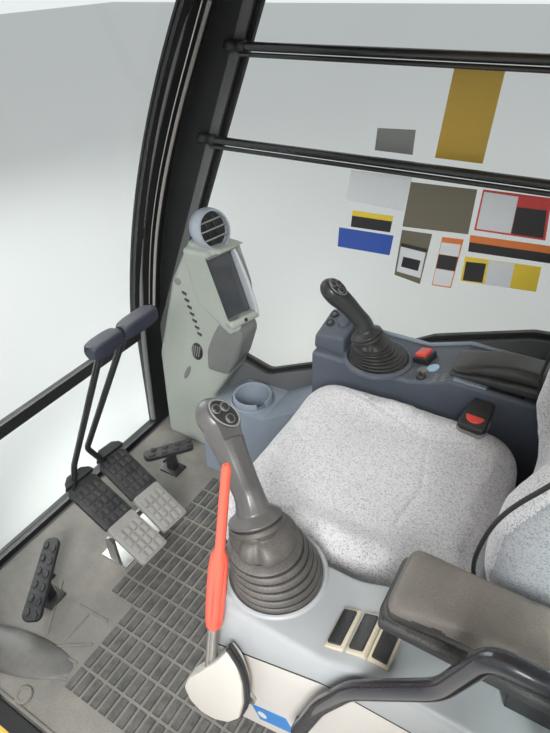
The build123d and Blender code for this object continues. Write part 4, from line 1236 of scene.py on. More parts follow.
def buttons(side, place, turn, size):
    """An oval plate with three round buttons, laid on the head's flat face."""
    matrix = Matrix.Translation(place) @ turn
    oval = matrix @ Matrix.Diagonal((1.26 * size, 0.86 * size, 1, 1))
    plate = turned("plate", (0, 0, 0), ((0.0185, -0.002), (0.0195, 0.001), (0.0180, 0.0026), (0.0165, 0.0022),
                                        (0.0005, 0.0022)),
                   sides=48)
    place_by(plate, oval)
    bezel = turned("bezel", (0, 0, 0), ((0.0182, 0.0015), (0.0196, 0.0030), (0.0182, 0.0042),
                                        (0.0168, 0.0030)), sides=48, closed=False)
    place_by(bezel, oval)
    rings, caps = [], []
    for x, y in ((0.0120, 0.0035), (0.0040, -0.0078), (-0.0100, 0.0025)):
        spot = matrix @ Matrix.Translation((x * size, y * size, 0.002))
        ring = turned("ring", (0, 0, 0), ((0.0074, 0.0), (0.0074, 0.0026), (0.0066, 0.0032),
                                          (0.0060, 0.0022)), sides=24, closed=False)
        cap = turned("cap", (0, 0, 0), ((0.0060, -0.001), (0.0060, 0.0030), (0.0048, 0.0042),
                                        (0.0005, 0.0044)), sides=24)
        rings.append(place_by(ring, spot))
        caps.append(place_by(cap, spot))
    present(join(side + "_plate", [plate, *caps]), black_plastic, side)
    present(join(side + "_bezel", [bezel, *rings]), seal_grey, side)


buttons("left_stick", left_flat, left_turn, LEFT_SIZE)
buttons("right_stick", right_flat, right_turn, RIGHT_SIZE)
print("button plates", 2)

# %% [markdown]
# Under the skirt sits a soft collar with two crumpled folds. Real ones fold
# unevenly, so the rings are pushed in and out by a slow wave around the stick.

# %% Crumpled collars
PINCH = math.radians(112)


def crumple(side, foot, material, body, wide, low, high):
    """Two uneven folds between the bellows and the skirt, and a sleeve that runs on up inside the skirt."""
    tall = high - low
    rings = ((wide - 0.012, 0.0), (wide - 0.002, 0.04), (wide + 0.002, 0.14), (wide + 0.001, 0.36),
             (wide - 0.003, 0.60), (wide - 0.009, 0.82), (wide - 0.015, 0.94), (wide - 0.021, 1.0),
             (wide - 0.020, 1.10), (wide - 0.019, 1.55))
    piece = turned(side + "_crumple", foot, [(radius, low + tall * share) for radius, share in rings],
                   sides=64, closed=False)
    modify(piece, "SUBSURF", levels=2, render_levels=2)
    for vertex in piece.data.vertices:
        out = vertex.co - foot
        angle = math.atan2(out.y, out.x)
        share = (out.z - low) / tall
        pinch = math.exp(-((angle - PINCH) / 0.20) ** 2)
        pinch += 0.6 * math.exp(-((angle - PINCH + 0.75) / 0.16) ** 2)
        swell = 1.0 - 0.13 * pinch + 0.025 * math.sin(3 * angle + 1.2)
        vertex.co.x = foot.x + out.x * swell + left_lean.x * 0.35 * share
        vertex.co.y = foot.y + out.y * swell
        vertex.co.z += (0.0026 * math.sin(2 * angle + 1.2) - 0.0030 * pinch) * max(0.0, 0.9 - share)
    present(piece, material, body, angle=60)


crumple("left", LEFT_FOOT + left_lean, boot_rubber, "left_stick", 0.0490, 0.0635, 0.0900)
crumple("right", RIGHT_FOOT + right_lean, boot_black, "right_stick", 0.0430, 0.0450, 0.0640)
print("collars", 2)

# %% [markdown]
# ## The gate lock lever
# An ivory teardrop turns on the console's side and carries a steel shaft with a
# long coral grip: thick and grooved where the hand pulls, a thin rod above it.

# %% Teardrop, rubber rim and shaft
lever_low, lever_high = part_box("gate_lock_lever")
LEVER_Y = lever_low.y + 0.015
TEAR = ((-0.112, 0.566), (-0.088, 0.516), (-0.052, 0.452), (-0.018, 0.392), (0.000, 0.338), (-0.004, 0.292),
        (-0.026, 0.266), (-0.058, 0.276), (-0.094, 0.312), (-0.122, 0.366), (-0.134, 0.430), (-0.136, 0.494),
        (-0.128, 0.542))
teardrop = slab("lever_teardrop", TEAR, lever_low.y, lever_low.y + 0.030, corner=0.008, edge=0.0125, rings=6)
crest = Vector((-0.078, 0.0, 0.410))
for vertex in teardrop.data.vertices:
    if vertex.co.y > LEVER_Y:
        away = Vector((vertex.co.x, 0, vertex.co.z)) - crest
        vertex.co.y -= min(0.010, 0.055 * away.length)
present(teardrop, lever_ivory, "gate_lever", replaces=["gate_lock_lever"], angle=50)
RIM = ((-0.104, 0.326), (-0.124, 0.364), (-0.136, 0.430), (-0.138, 0.494), (-0.130, 0.543), (-0.113, 0.570))
rims = [tube("rim", [(x, LEVER_Y + aside, z) for x, z in RIM], 0.0035) for aside in (-0.0050, 0.0020)]
present(join("lever_rim", rims), black_plastic, "gate_lever")
SHAFT_FOOT, LEVER_TIP = Vector((-0.064, LEVER_Y - 0.002, 0.450)), Vector((-0.134, LEVER_Y - 0.019, 0.946))
rise = LEVER_TIP - SHAFT_FOOT
stand = aimed(SHAFT_FOOT, rise)
long = rise.length


def fluted(piece, flutes, depth, low, high):
    """Draw a round bar in along equal flutes, between two heights."""
    for vertex in piece.data.vertices:
        if low < vertex.co.z < high:
            angle = math.atan2(vertex.co.y, vertex.co.x)
            vertex.co.xy *= 1.0 - depth * max(0.0, math.cos(flutes * angle)) ** 4


shaft = turned("lever_shaft", (0, 0, 0), ((0.0095, -0.01), (0.0095, 0.05), (0.0092, 0.10), (0.0090, 0.170)),
               sides=48)
fluted(shaft, 4, 0.30, -0.03, 0.2)
present(place_by(shaft, stand), bare_steel, "gate_lever")
grip = turned("lever_grip", (0, 0, 0), ((0.0095, 0.150), (0.0118, 0.152), (0.0130, 0.158), (0.0140, 0.20),
                                        (0.0141, 0.25), (0.0135, 0.30), (0.0118, 0.326), (0.0080, 0.337),
                                        (0.0066, 0.345), (0.0062, 0.42), (0.0056, long - 0.010),
                                        (0.0050, long - 0.003), (0.0030, long), (0.0004, long)), sides=72)
fluted(grip, 6, 0.17, 0.158, 0.318)
present(place_by(grip, stand), coral_red, "gate_lever", angle=50)
print("lever tip at height", round(lever_high.z, 3))

# %% [markdown]
# ## The lift handle
# The handle on the console's outer side is one bent tube. Its CAD bends are tight
# arcs, and the real tube curves more gently, so a NURBS tube follows the same
# corners and stands for the node. Alone it would cut every corner, so two more
# points beside each one hold the straight runs.

# %% Lift handle
handle_low, handle_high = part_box("console_handle")
TUBE_R = 0.012
tube_y = handle_high.y - TUBE_R
HANDLE = ((-0.226, handle_low.y, 0.420), (-0.226, tube_y, 0.420), (-0.262, tube_y, 0.553),
          (-0.303, tube_y, 0.647), (-0.401, tube_y, 0.759), (-0.434, tube_y, 0.862), (-0.520, tube_y, 0.862),
          (-0.570, tube_y, 0.600), (-0.570, handle_low.y, 0.600))


def held(points, reach):
    """The points with two more beside each corner, at most reach away from it."""
    route = [Vector(points[0])]
    for before, corner, after in zip(points, points[1:], points[2:]):
        corner = Vector(corner)
        back, ahead = Vector(before) - corner, Vector(after) - corner
        route += [corner + back * min(0.45, reach / back.length), corner,
                  corner + ahead * min(0.45, reach / ahead.length)]
    return route + [Vector(points[-1])]


lift_handle = tube("lift_handle", held(HANDLE, 0.042), TUBE_R, steps=6, sides=6)
present(lift_handle, handle_black, "console", replaces=["console_handle"], angle=60)
print("handle reaches", round(handle_high.z, 3))

# %% [markdown]
# ## The display column
# The column by the windscreen is a sculpted moulding. Its display looks at the
# driver out of a hooded recess, with an air vent on top. The CAD column has the
# mass. Here a copy of it is cut by two planes, gets a cheek beside the display,
# is melted into one skin by a voxel Remesh, and then the recess is cut crisp.

# %% Where the display looks
SCREEN_AT = Vector((0.392, -0.418, 0.696))
SCREEN_UP = Vector((0.308, 0.0, 0.951)).normalized()
SCREEN_OUT = Vector((-0.854, 0.439, 0.277)).normalized()
SCREEN_W, SCREEN_H = 0.074, 0.175


def framed(place, up, out):
    """A matrix with X to the right, Y up and Z out of a face."""
    right = Vector(up).cross(Vector(out)).normalized()
    turn = Matrix((right, Vector(up).normalized(), Vector(out).normalized())).transposed().to_4x4()
    return Matrix.Translation(Vector(place)) @ turn


def cut_away(piece, place, normal):
    """Cut a closed piece by a plane, drop what lies on the normal's side and close the cut."""
    only(piece)
    bpy.ops.object.mode_set(mode="EDIT")
    bpy.ops.mesh.select_all(action="SELECT")
    bpy.ops.mesh.bisect(plane_co=place, plane_no=normal, use_fill=True, clear_outer=True)
    leave()


def carve(piece, cutter):
    """Take a cutter's shape out of a piece, and remove the cutter."""
    modify(piece, "BOOLEAN", operation="DIFFERENCE", solver="EXACT", object=cutter)
    bpy.data.objects.remove(cutter)


screen_frame = framed(SCREEN_AT, SCREEN_UP, SCREEN_OUT)
print("display looks", tuple(round(c, 2) for c in SCREEN_OUT))

# %% Body, cheek and recess
column_grey_dark = surface("column_grey_dark", (0.165, 0.172, 0.165), 0.50, grain=0.25, dust=0.22)
column_pale = surface("column_pale", (0.50, 0.53, 0.56), 0.42, grain=0.12, dust=0.14)
vent_grey = surface("vent_grey", (0.36, 0.40, 0.46), 0.40, grain=0.12, dust=0.16)
screen_dark = surface("screen_dark", (0.050, 0.055, 0.062), 0.18, spread=0.10, dust=0.22, scuff=0.10,
                      coat=0.4)
column = own_copy("monitor_column", "column_body")
HOOD_OUT = SCREEN_AT + SCREEN_OUT * 0.030
cut_away(column, HOOD_OUT, SCREEN_OUT)
cut_away(column, (0.430, 0.0, 0.800), Vector((-0.05, 0, 1.0)))
cheek = slab("cheek", ((0.505, 0.792), (0.420, 0.795), (0.335, 0.590), (0.372, 0.560), (0.480, 0.640)),
             -0.404, -0.380, edge=0.010)
cut_away(cheek, HOOD_OUT, SCREEN_OUT)
column = join("column_body", [column, cheek])
modify(column, "REMESH", mode="VOXEL", voxel_size=0.0042)
modify(column, "SMOOTH", factor=0.5, iterations=10)
recess = block("recess", (-SCREEN_W / 2, -SCREEN_H / 2, 0.0),
               (SCREEN_W / 2 + 0.060, SCREEN_H / 2 + 0.002, 0.16), edge=0.003, rings=2)
carve(column, place_by(recess, screen_frame))
present(column, column_grey, "cab", replaces=["monitor_column", "monitor_housing"], angle=32)
print("column faces", len(column.data.polygons))

# %% Display, hood lining, ear and lip
RIGHT, TOP = SCREEN_W / 2, SCREEN_H / 2
# Columns: name, lower corner, upper corner, edge, rings, finish, slot, replaced node
SCREEN_PARTS = (
    ("display", (-RIGHT + 0.001, -TOP + 0.001, -0.004), (RIGHT + 0.002, TOP + 0.001, 0.0025), 0.001, 1,
     screen_dark, "screen", ["monitor_screen"]),
    ("visor", (-RIGHT, TOP - 0.002, -0.002), (RIGHT + 0.004, TOP + 0.003, 0.026), 0.001, 1,
     column_grey_dark, "trim_grey", []),
    ("lip", (-RIGHT - 0.006, -TOP - 0.020, -0.010), (RIGHT + 0.008, -TOP, 0.034), 0.006, 3,
     column_grey, "trim_grey", []),
    ("port", (-0.002, -TOP - 0.015, 0.030), (0.008, -TOP - 0.005, 0.0346), 0.0008, 1,
     black_plastic, "black_plastic", []))
for name, low, high, edge, rings, finish, where, replaced in SCREEN_PARTS:
    part = place_by(block(name, low, high, edge=edge, rings=rings), screen_frame)
    present(part, finish, "cab", replaces=replaced)
ear = slab("ear", ((-0.106, -0.006), (-0.104, 0.034), (-0.060, 0.042), (0.000, 0.042), (0.055, 0.034),
                   (0.088, 0.024), (0.100, -0.004)),
           RIGHT + 0.001, RIGHT + 0.009, axis="Z", corner=0.012, edge=0.003)
place_by(ear, screen_frame @ Matrix(((0, 0, 1, 0), (1, 0, 0, 0), (0, 1, 0, 0), (0, 0, 0, 1))))
present(ear, column_pale, "cab")
chin = slab("chin", ((0.352, 0.600), (0.404, 0.600), (0.440, 0.540), (0.470, 0.474), (0.474, 0.408),
                     (0.400, 0.412), (0.366, 0.470), (0.336, 0.560)), -0.472, -0.390, corner=0.012,
            edge=0.010, rings=4)
present(chin, column_grey_dark, "cab")
print("display group made")

# %% [markdown]
# The vent is a small hood, cut flat where it opens, with a dark hollow and three
# pale slats. Insetting the cut face and pushing it in makes the rim.

# %% Air vent
VENT_AT = Vector((0.440, -0.430, 0.836))
VENT_OUT = Vector((-0.90, 0.36, 0.24)).normalized()
vent_frame = framed(VENT_AT + VENT_OUT * 0.020, Vector((0.26, 0.0, 0.966)), VENT_OUT)
hood = ball("vent_hood", VENT_AT, (0.058, 0.046, 0.054), Matrix.Rotation(math.radians(-12), 4, "Y"))
cut_away(hood, VENT_AT + VENT_OUT * 0.020, VENT_OUT)
choose(hood, lambda middle, normal: normal.dot(VENT_OUT) > 0.999
       and (middle - VENT_AT).dot(VENT_OUT) > 0.0195)
bpy.ops.mesh.inset(thickness=0.0045)
bpy.ops.mesh.extrude_region_move(TRANSFORM_OT_translate={"value": -VENT_OUT * 0.016})
leave()
present(hood, vent_grey, "cab", replaces=["air_vent"])
hollow = ball("vent_hollow", (0, 0, 0), (0.0385, 0.0455, 0.0015), Matrix.Identity(4))
place_by(hollow, vent_frame @ Matrix.Translation((0, 0, -0.0135)))
bars = []
for height in (-0.012, 0.012):
    bars.append(block("bar", (height - 0.004, -0.036, -0.013), (height + 0.004, 0.036, -0.006), edge=0.001,
                      rings=1))
vanes = place_by(join("vent_vanes", bars), vent_frame)
present(join("vent_hollow", [hollow, vanes]), black_plastic, "cab")
slats = []
for height in (-0.019, 0.003, 0.024):
    half = 0.037 * math.sqrt(1 - (height / 0.046) ** 2)
    slat = block("slat", (-half, height - 0.0022, -0.010), (half, height + 0.0022, 0.001), edge=0.001,
                 rings=2)
    slats.append(place_by(slat, vent_frame @ Matrix.Rotation(math.radians(-14), 4, "X")))
present(join("vent_slats", slats), seal_grey, "cab")
print("vent slats", len(slats))

# %% Slots, round louvre, pocket and rosette on the column's side
SIDE_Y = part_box("monitor_column")[1].y
slots, fins = [], []
for step in range(7):
    share = step / 6
    at = posed((0.530 - 0.036 * share, SIDE_Y, 0.645 - 0.123 * share), -12, "Y")
    slot = block("slot", (-0.0085, -0.003, -0.0042), (0.0085, 0.0012, 0.0042), edge=0.001, rings=1)
    fin = block("fin", (-0.0085, 0.0, -0.0060), (0.0030, 0.0030, -0.0030), edge=0.001, rings=1)
    slots.append(place_by(slot, at))
    fins.append(place_by(fin, at))
louvre = ball("louvre", (0, 0, 0), (0.021, 0.0050, 0.033), Matrix.Identity(4))
at = posed((0.512, SIDE_Y - 0.001, 0.455), -14, "Y")
slots.append(place_by(louvre, at))
present(join("column_slots", slots), black_plastic, "cab")
for step in range(4):
    bar = block("bar", (-0.0016, 0.0, -0.020), (0.0016, 0.0062, 0.020), edge=0.001, rings=1)
    at = posed((0.524 - 0.0075 * step, SIDE_Y - 0.001, 0.458), -14, "Y")
    fins.append(place_by(bar, at))
ROSETTE = ((0.0105, -0.002), (0.0105, 0.002), (0.0080, 0.0034), (0.0045, 0.0034), (0.0040, 0.0018),
           (0.0002, 0.0018))
rosette = turned("rosette", (0, 0, 0), ROSETTE, sides=24)
at = posed((0.548, SIDE_Y, 0.677), -90, "X")
fins.append(place_by(rosette, at))
present(join("column_fins", fins), seal_grey, "cab")
pocket = ball("column_pocket", (0, 0, 0), (0.0075, 0.0022, 0.034), Matrix.Identity(4))
place_by(pocket, posed((0.563, SIDE_Y, 0.360), -28, "Y"))
present(pocket, column_grey_dark, "cab")
print("column details", len(slots) + len(fins))

# %% [markdown]
# ## Trim and cup holder
# The low trim on the right holds a cup. Its holder is a thick cone with a rolled
# rim and a notch for a mug's handle, cut out by a Boolean.

# %% Cup holder
cup_low, cup_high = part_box("cup_holder")
CUP = Vector(((cup_low.x + cup_high.x) / 2, (cup_low.y + cup_high.y) / 2, 0.0))
TRIM_TOP = 0.350
cup = turned("cup", CUP, ((0.0600, 0.312), (0.0590, TRIM_TOP + 0.002), (0.0570, cup_high.z - 0.006),
                          (0.0555, cup_high.z - 0.001), (0.0530, cup_high.z), (0.0500, cup_high.z - 0.002),
                          (0.0480, cup_high.z - 0.008), (0.0460, cup_low.z + 0.008),
                          (0.0420, cup_low.z + 0.002), (0.0010, cup_low.z + 0.001)), sides=72, closed=False)
modify(cup, "SOLIDIFY", thickness=0.0015, offset=-1)
notch = block("notch", (-0.013, 0.036, cup_high.z - 0.016), (0.013, 0.075, cup_high.z + 0.02), edge=0.004)
place_by(notch, posed(CUP, 58, "Z"))
carve(cup, notch)
present(cup, trim_blue, "cab", replaces=["cup_holder"], angle=32)
ring = turned("cup_ring", CUP, ((0.0640, TRIM_TOP - 0.030), (0.0640, TRIM_TOP + 0.004),
                                (0.0625, TRIM_TOP + 0.006), (0.0600, TRIM_TOP + 0.004)),
              sides=72, closed=False)
present(ring, trim_blue, "cab")
# A black disc lies on the cup's floor.
dirt = turned("cup_floor", CUP, ((0.0440, cup_low.z + 0.003), (0.0440, cup_low.z + 0.005),
                                 (0.0005, cup_low.z + 0.005)), sides=32)
present(dirt, black_plastic, "cab")
print("cup at", tuple(round(c, 3) for c in CUP))

# %% [markdown]
# ## The right console
# The console's slate body is a CAD node. What sits on it is small: a collar at
# the boot, a switch box, a red switch with a guard, two discs, rows of short
# slots, a lid and a pocket. Each is a plain form in its place.

# %% Collar and switch box
collar = turned("right_collar", RIGHT_FOOT, ((0.080, -0.003), (0.079, 0.003), (0.075, 0.006), (0.0705, 0.007),
                                             (0.069, 0.004), (0.067, -0.003)), sides=64, closed=False)
present(collar, console_dark, "cab")
box_low, box_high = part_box("right_switch_box")
BOX_FALL, BOX_LEAN = 0.010, 0.24
box_middle = (box_low + box_high) / 2
switch_box = slab("switch_box", ((box_low.x, STICK_Z - 0.004), (box_low.x + 0.001, box_high.z + BOX_FALL),
                                 (box_high.x + 0.012, box_high.z), (box_high.x + 0.014, STICK_Z - 0.004)),
                  box_low.y, box_high.y, corner=0.009, edge=0.007, rings=4)
for vertex in switch_box.data.vertices:
    if vertex.co.z > STICK_Z + 0.020:
        vertex.co.z -= BOX_LEAN * (vertex.co.y - box_middle.y) + 0.004
present(switch_box, console_dark, "cab", replaces=["right_switch_box"], angle=50)
face = Matrix.Translation((box_middle.x + 0.008, box_middle.y,
                           box_high.z + BOX_FALL / 2 - 0.0035)) @ Matrix.Rotation(
    -math.atan(BOX_LEAN), 4, "X") @ Matrix.Rotation(math.atan2(BOX_FALL, box_high.x + 0.012 - box_low.x), 4,
                                                    "Y")
button_caps, button_rims = [], []
for x, y in ((0.020, -0.024), (0.017, 0.006)):
    rim = turned("rim", (0, 0, 0), ((0.0105, -0.002), (0.0105, 0.0022), (0.0092, 0.003), (0.0086, 0.001),
                                    (0.0002, 0.001)), sides=28)
    cap = turned("cap", (0, 0, 0), ((0.0060, 0.0), (0.0060, 0.0032), (0.0048, 0.0040), (0.0002, 0.0042)),
                 sides=24)
    button_rims.append(place_by(rim, face @ Matrix.Translation((x, y, 0))))
    button_caps.append(place_by(cap, face @ Matrix.Translation((x, y, 0))))
knob = turned("knob", (0, 0, 0), ((0.0155, -0.003), (0.0155, 0.004), (0.0135, 0.009), (0.0080, 0.0115),
                                  (0.0004, 0.012)), sides=36)
place_by(knob, face @ Matrix.Translation((-0.016, -0.004, 0)) @ Matrix.Diagonal((1.0, 1.25, 1.0, 1)))
present(join("switch_box_rims", button_rims), black_plastic, "cab")
present(join("switch_box_caps", [*button_caps, knob]), console_dark, "cab")
print("switch box buttons", len(button_caps))

# %% Red switch, discs, slots, lid and pocket
RISE, RISE_RUN, RISE_FROM = 0.032, 0.090, -0.140
CONSOLE_SLOPE = math.atan2(RISE, RISE_RUN)


def console_height(x):
    """Height of the right console's top at x, flat, then rising to the rear."""
    return STICK_Z + RISE * max(0.0, min(1.0, (RISE_FROM - x) / RISE_RUN))


def on_console(x, y, turn=0.0):
    """A place on the console's top, leaning with its slope."""
    lean = CONSOLE_SLOPE if -0.232 < x < -0.138 else 0.0
    turning = Matrix.Rotation(lean, 4, "Y") @ Matrix.Rotation(math.radians(turn), 4, "Z")
    return Matrix.Translation((x, y, console_height(x))) @ turning


guard = block("guard", (-0.019, -0.021, -0.003), (0.019, 0.021, 0.016), edge=0.003)
red_place = on_console(-0.151, -0.412, -14)
place_by(guard, red_place)
red = block("red_switch", (-0.0135, -0.0155, 0.010), (0.0135, 0.0155, 0.023), edge=0.0025)
present(place_by(red, red_place), button_red, "cab")
tab = block("red_switch_mark", (-0.006, -0.002, 0.0225), (0.006, 0.002, 0.0236), edge=0.0004, rings=1)
place_by(tab, red_place)
key = turned("key", (0, 0, 0), ((0.0105, -0.001), (0.0105, 0.004), (0.0090, 0.006), (0.0030, 0.006),
                                (0.0030, 0.014), (0.0002, 0.014)), sides=28)
place_by(key, on_console(-0.166, -0.338))
present(join("console_blacks", [guard, key]), black_plastic, "cab")
disc_blue = surface("disc_blue", (0.40, 0.56, 0.72), 0.30, spread=0.05, dust=0.05)
disc = turned("console_disc_blue", (0, 0, 0), ((0.0135, -0.001), (0.0135, 0.0030), (0.0125, 0.0038),
                                               (0.0002, 0.0038)), sides=32)
present(place_by(disc, on_console(-0.180, -0.374)), disc_blue, "cab")
plain_disc = turned("console_disc_grey", (0, 0, 0),
                    ((0.0125, -0.001), (0.0125, 0.0025), (0.0115, 0.0033), (0.0002, 0.0033)), sides=32)
place_by(plain_disc, on_console(-0.160, -0.366))
bars = []
for column_step in range(2):
    for row in range(4):
        bar = block("bar", (-0.0052, -0.0016, -0.001), (0.0052, 0.0016, 0.0012), edge=0.0006, rings=1)
        at = on_console(-0.196 - 0.0165 * column_step, -0.347 + 0.0085 * row - 0.004 * column_step, 6)
        bars.append(place_by(bar, at))
present(join("console_pale_bits", [plain_disc, tab, *bars]), seal_grey, "cab")
lid = block("console_lid", (-0.300, -0.372, 0.670), (-0.233, -0.329, 0.6745), edge=0.0018)
present(lid, trim_blue, "cab")
hole = block("console_pocket", (-0.372, -0.372, 0.6715), (-0.304, -0.332, 0.6728), edge=0.0006, rings=1)
present(hole, black_plastic, "cab")
LEDGE_Y, LEDGE_R = -0.4765, 0.005
LEDGE = ((0.094, 0.643), (-0.140, 0.643), (-0.231, 0.675), (-0.598, 0.675))
ledge = tube("console_ledge", [(x, LEDGE_Y, z) for x, z in LEDGE], LEDGE_R, smooth=False)
present(ledge, trim_blue, "cab")
print("console details", len(bars) + 7)

# %% [markdown]
# ## Stuffed pieces
# Cushions are foam under cloth, and a plain rounded box looks like plastic. A
# Cloth modifier with inner pressure would swell a box into a pillow, which is
# too much, so it runs for a few frames only and the move is capped: the faces
# belly and the edges stay where the foam is cut.

# %% Swell a copy with cloth


def stuffed(piece, cap, pressure=4.0, frames=20):
    """Swell a closed piece by cloth pressure, with no vertex moving more than cap."""
    rest = [vertex.co.copy() for vertex in piece.data.vertices]
    only(piece)
    change = piece.modifiers.new("swell", "CLOTH")
    change.settings.use_pressure = True
    change.settings.uniform_pressure_force = pressure
    change.settings.effector_weights.gravity = 0.0
    change.settings.quality = 4
    change.settings.tension_stiffness = 18
    change.settings.bending_stiffness = 2.5
    change.point_cache.frame_end = frames
    for frame_number in range(1, frames + 1):
        bpy.context.scene.frame_set(frame_number)
    bpy.ops.object.modifier_apply(modifier=change.name)
    for vertex, place in zip(piece.data.vertices, rest):
        move = vertex.co - place
        if move.length > cap:
            vertex.co = place + move * (cap / move.length)
    bpy.context.scene.frame_set(1)
    return piece


def groove(piece, lines, depth=0.0028, width=0.0075, up=Vector((0, 0, 1))):
    """Press narrow seams into a piece along lines of points, against its up direction."""
    for vertex in piece.data.vertices:
        nearest = 1.0
        for line in lines:
            for first, second in zip(line, line[1:]):
                first, second = Vector(first), Vector(second)
                span = second - first
                flat = vertex.co - first
                flat -= up * flat.dot(up)
                span -= up * span.dot(up)
                share = max(0.0, min(1.0, flat.dot(span) / span.length_squared))
                nearest = min(nearest, (flat - span * share).length)
        if nearest < width and vertex.normal.dot(up) > 0.5:
            vertex.co -= up * depth * (1 - nearest / width) ** 1.5


# %% Seat cushion
pad_low, pad_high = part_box("seat_cushion")
SEAT_Y = (pad_low.y + pad_high.y) / 2
CORNER = 0.070
outline = []
for x, y, start in ((pad_high.x, pad_high.y, 0), (pad_low.x, pad_high.y, 90), (pad_low.x, pad_low.y, 180),
                    (pad_high.x, pad_low.y, 270)):
    middle = Vector((x - math.copysign(CORNER, x - 0.5 * (pad_low.x + pad_high.x)),
                     y - math.copysign(CORNER, y - SEAT_Y)))
    for step in range(7):
        angle = math.radians(start + 15 * step)
        outline.append((middle.x + CORNER * math.cos(angle), middle.y + CORNER * math.sin(angle)))
cushion = slab("seat_cushion_cloth", outline, pad_low.z + 0.002, pad_high.z - 0.010, axis="Z", edge=0.036,
               rings=5)
modify(cushion, "REMESH", mode="VOXEL", voxel_size=0.0065)
modify(cushion, "SMOOTH", factor=0.5, iterations=6)
stuffed(cushion, cap=0.012)
BOLSTER = 0.026
for vertex in cushion.data.vertices:
    height = max(0.0, (vertex.co.z - pad_low.z) / (pad_high.z - pad_low.z))
    across = (vertex.co.y - SEAT_Y) / (pad_high.y - SEAT_Y)
    dip = 0.009 * height * max(0.0, math.cos(across * math.pi * 0.5))
    vertex.co.z -= dip * (1 if vertex.co.x < 0.02 else 0.5)
    vertex.co.z -= 0.016 * height * max(0.0, (vertex.co.x - (pad_high.x - 0.10)) / 0.10) ** 2
    flank = max(0.0, min(1.0, (abs(across) - 0.52) / 0.36))
    reach = min(1.0, max(0.0, (pad_high.x - vertex.co.x) / 0.16))
    reach *= min(1.0, max(0.0, (vertex.co.x - pad_low.x - 0.02) / 0.12))
    vertex.co.z += BOLSTER * height * flank * flank * (3 - 2 * flank) * reach
modify(cushion, "SUBSURF", levels=1, render_levels=1)
TEE = Vector((-0.232, -0.205, 0.0))
groove(cushion, [((-0.010, -0.262, 0), (-0.120, -0.236, 0), TEE, (-0.300, -0.226, 0)),
                 (TEE, (-0.262, -0.080, 0), (-0.250, 0.020, 0))])
present(cushion, seat_cloth, "seat", replaces=["seat_cushion"], angle=60)
print("cushion faces", len(cushion.data.polygons))

# %% [markdown]
# ## Backrest
# The backrest is a shallow bucket: its sides stand forward of the middle. The
# CAD solid has those bolsters with hard steps. A remeshed copy is smoothed until
# the steps turn into slopes, then swollen a little.

# %% Backrest with bolsters
back_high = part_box("seat_backrest")[1]
backrest = own_copy("seat_backrest", "seat_backrest_cloth")
modify(backrest, "REMESH", mode="VOXEL", voxel_size=0.0085)
modify(backrest, "SMOOTH", factor=0.6, iterations=14)
stuffed(backrest, cap=0.010)
modify(backrest, "SUBSURF", levels=1, render_levels=1)
backrest.data.materials.clear()
backrest.data.materials.append(seat_cloth)
backrest.data.materials.append(side_cloth)
for polygon in backrest.data.polygons:
    rear = polygon.normal.x < -0.35
    side = abs(polygon.center.y - SEAT_Y) > back_high.y - SEAT_Y - 0.020 and abs(polygon.normal.y) > 0.72
    polygon.material_index = 1 if rear or side else 0
present(backrest, None, "backrest", replaces=["seat_backrest"], angle=60)
PIPING = ((-0.434, 0.560), (-0.424, 0.625), (-0.398, 0.685), (-0.376, 0.735), (-0.380, 0.800),
          (-0.394, 0.860), (-0.436, 0.935), (-0.482, 1.030), (-0.540, 1.150))
cords = []
for side in (-1, 1):
    y = SEAT_Y + side * (back_high.y - SEAT_Y - 0.0065)
    cords.append(tube("cord", [(x - 0.012, y, z) for x, z in PIPING], 0.0030, steps=10))
present(join("backrest_piping", cords), seal_rubber_and_shade, "backrest")
print("backrest faces", len(backrest.data.polygons))

# %% [markdown]
# ## Armrests and buckle
# The left armrest is worn grey-brown vinyl, with painted shade in black on its sides
# and on a block at its front; the right one is black. Both are thick pads, swollen the same way.

# %% Armrests


def armrest(node, name, material, body, edge, droop):
    """A padded armrest over its CAD block; droop is how far its front end bends down."""
    low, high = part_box(node)
    seat = low.z + ARM_BASE
    piece = block(name, (low.x + 0.002, low.y + 0.002, seat), high - Vector((0.002, 0.002, 0.003)), edge=edge,
                  rings=5)
    modify(piece, "REMESH", mode="VOXEL", voxel_size=0.0045)
    modify(piece, "SMOOTH", factor=0.5, iterations=4)
    stuffed(piece, cap=0.005)
    modify(piece, "SUBSURF", levels=1, render_levels=1)
    tray = block(node + "_tray", (low.x + 0.001, low.y, low.z), (high.x, high.y, seat + 0.004), edge=0.006,
                 rings=4)
    choose(tray, lambda middle, normal: True)
    bpy.ops.mesh.subdivide(number_cuts=4)
    leave()
    for vertex in (*piece.data.vertices, *tray.data.vertices):
        ahead = max(0.0, (vertex.co.x - (high.x - ARM_BEND)) / ARM_BEND)
        vertex.co.z -= droop * ahead ** 1.4 * (vertex.co.z - low.z) / (high.z - low.z)
    piece.data.materials.clear()
    piece.data.materials.append(material)
    piece.data.materials.append(vinyl_black_and_side_shade)
    # Faces that don't look up get black vinyl: the right armrest's own colour, and painted shade on the left
    # one's sides.
    for polygon in piece.data.polygons:
        polygon.material_index = 1 if polygon.normal.z < 0.30 else 0
    present(piece, None, body, replaces=[node], angle=60)
    present(tray, seat_plastic, body)


ARM_BASE, ARM_BEND = 0.016, 0.120
armrest("left_armrest", "left_armrest_pad", vinyl, "console", 0.016, 0.004)
armrest("right_armrest", "right_armrest_pad", vinyl_black_and_side_shade, "cab", 0.012, 0.030)
arm_low, arm_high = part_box("left_armrest")
# A black block at the left armrest's front and foot is painted shadow, not a part.
cap = block("left_armrest_shade_block", (arm_high.x - 0.046, arm_low.y + 0.006, arm_low.z - 0.010),
            (arm_high.x + 0.003, arm_high.y - 0.006, arm_low.z + 0.030), edge=0.012, rings=4)
present(cap, seat_plastic, "console")
print("armrests padded", 2)

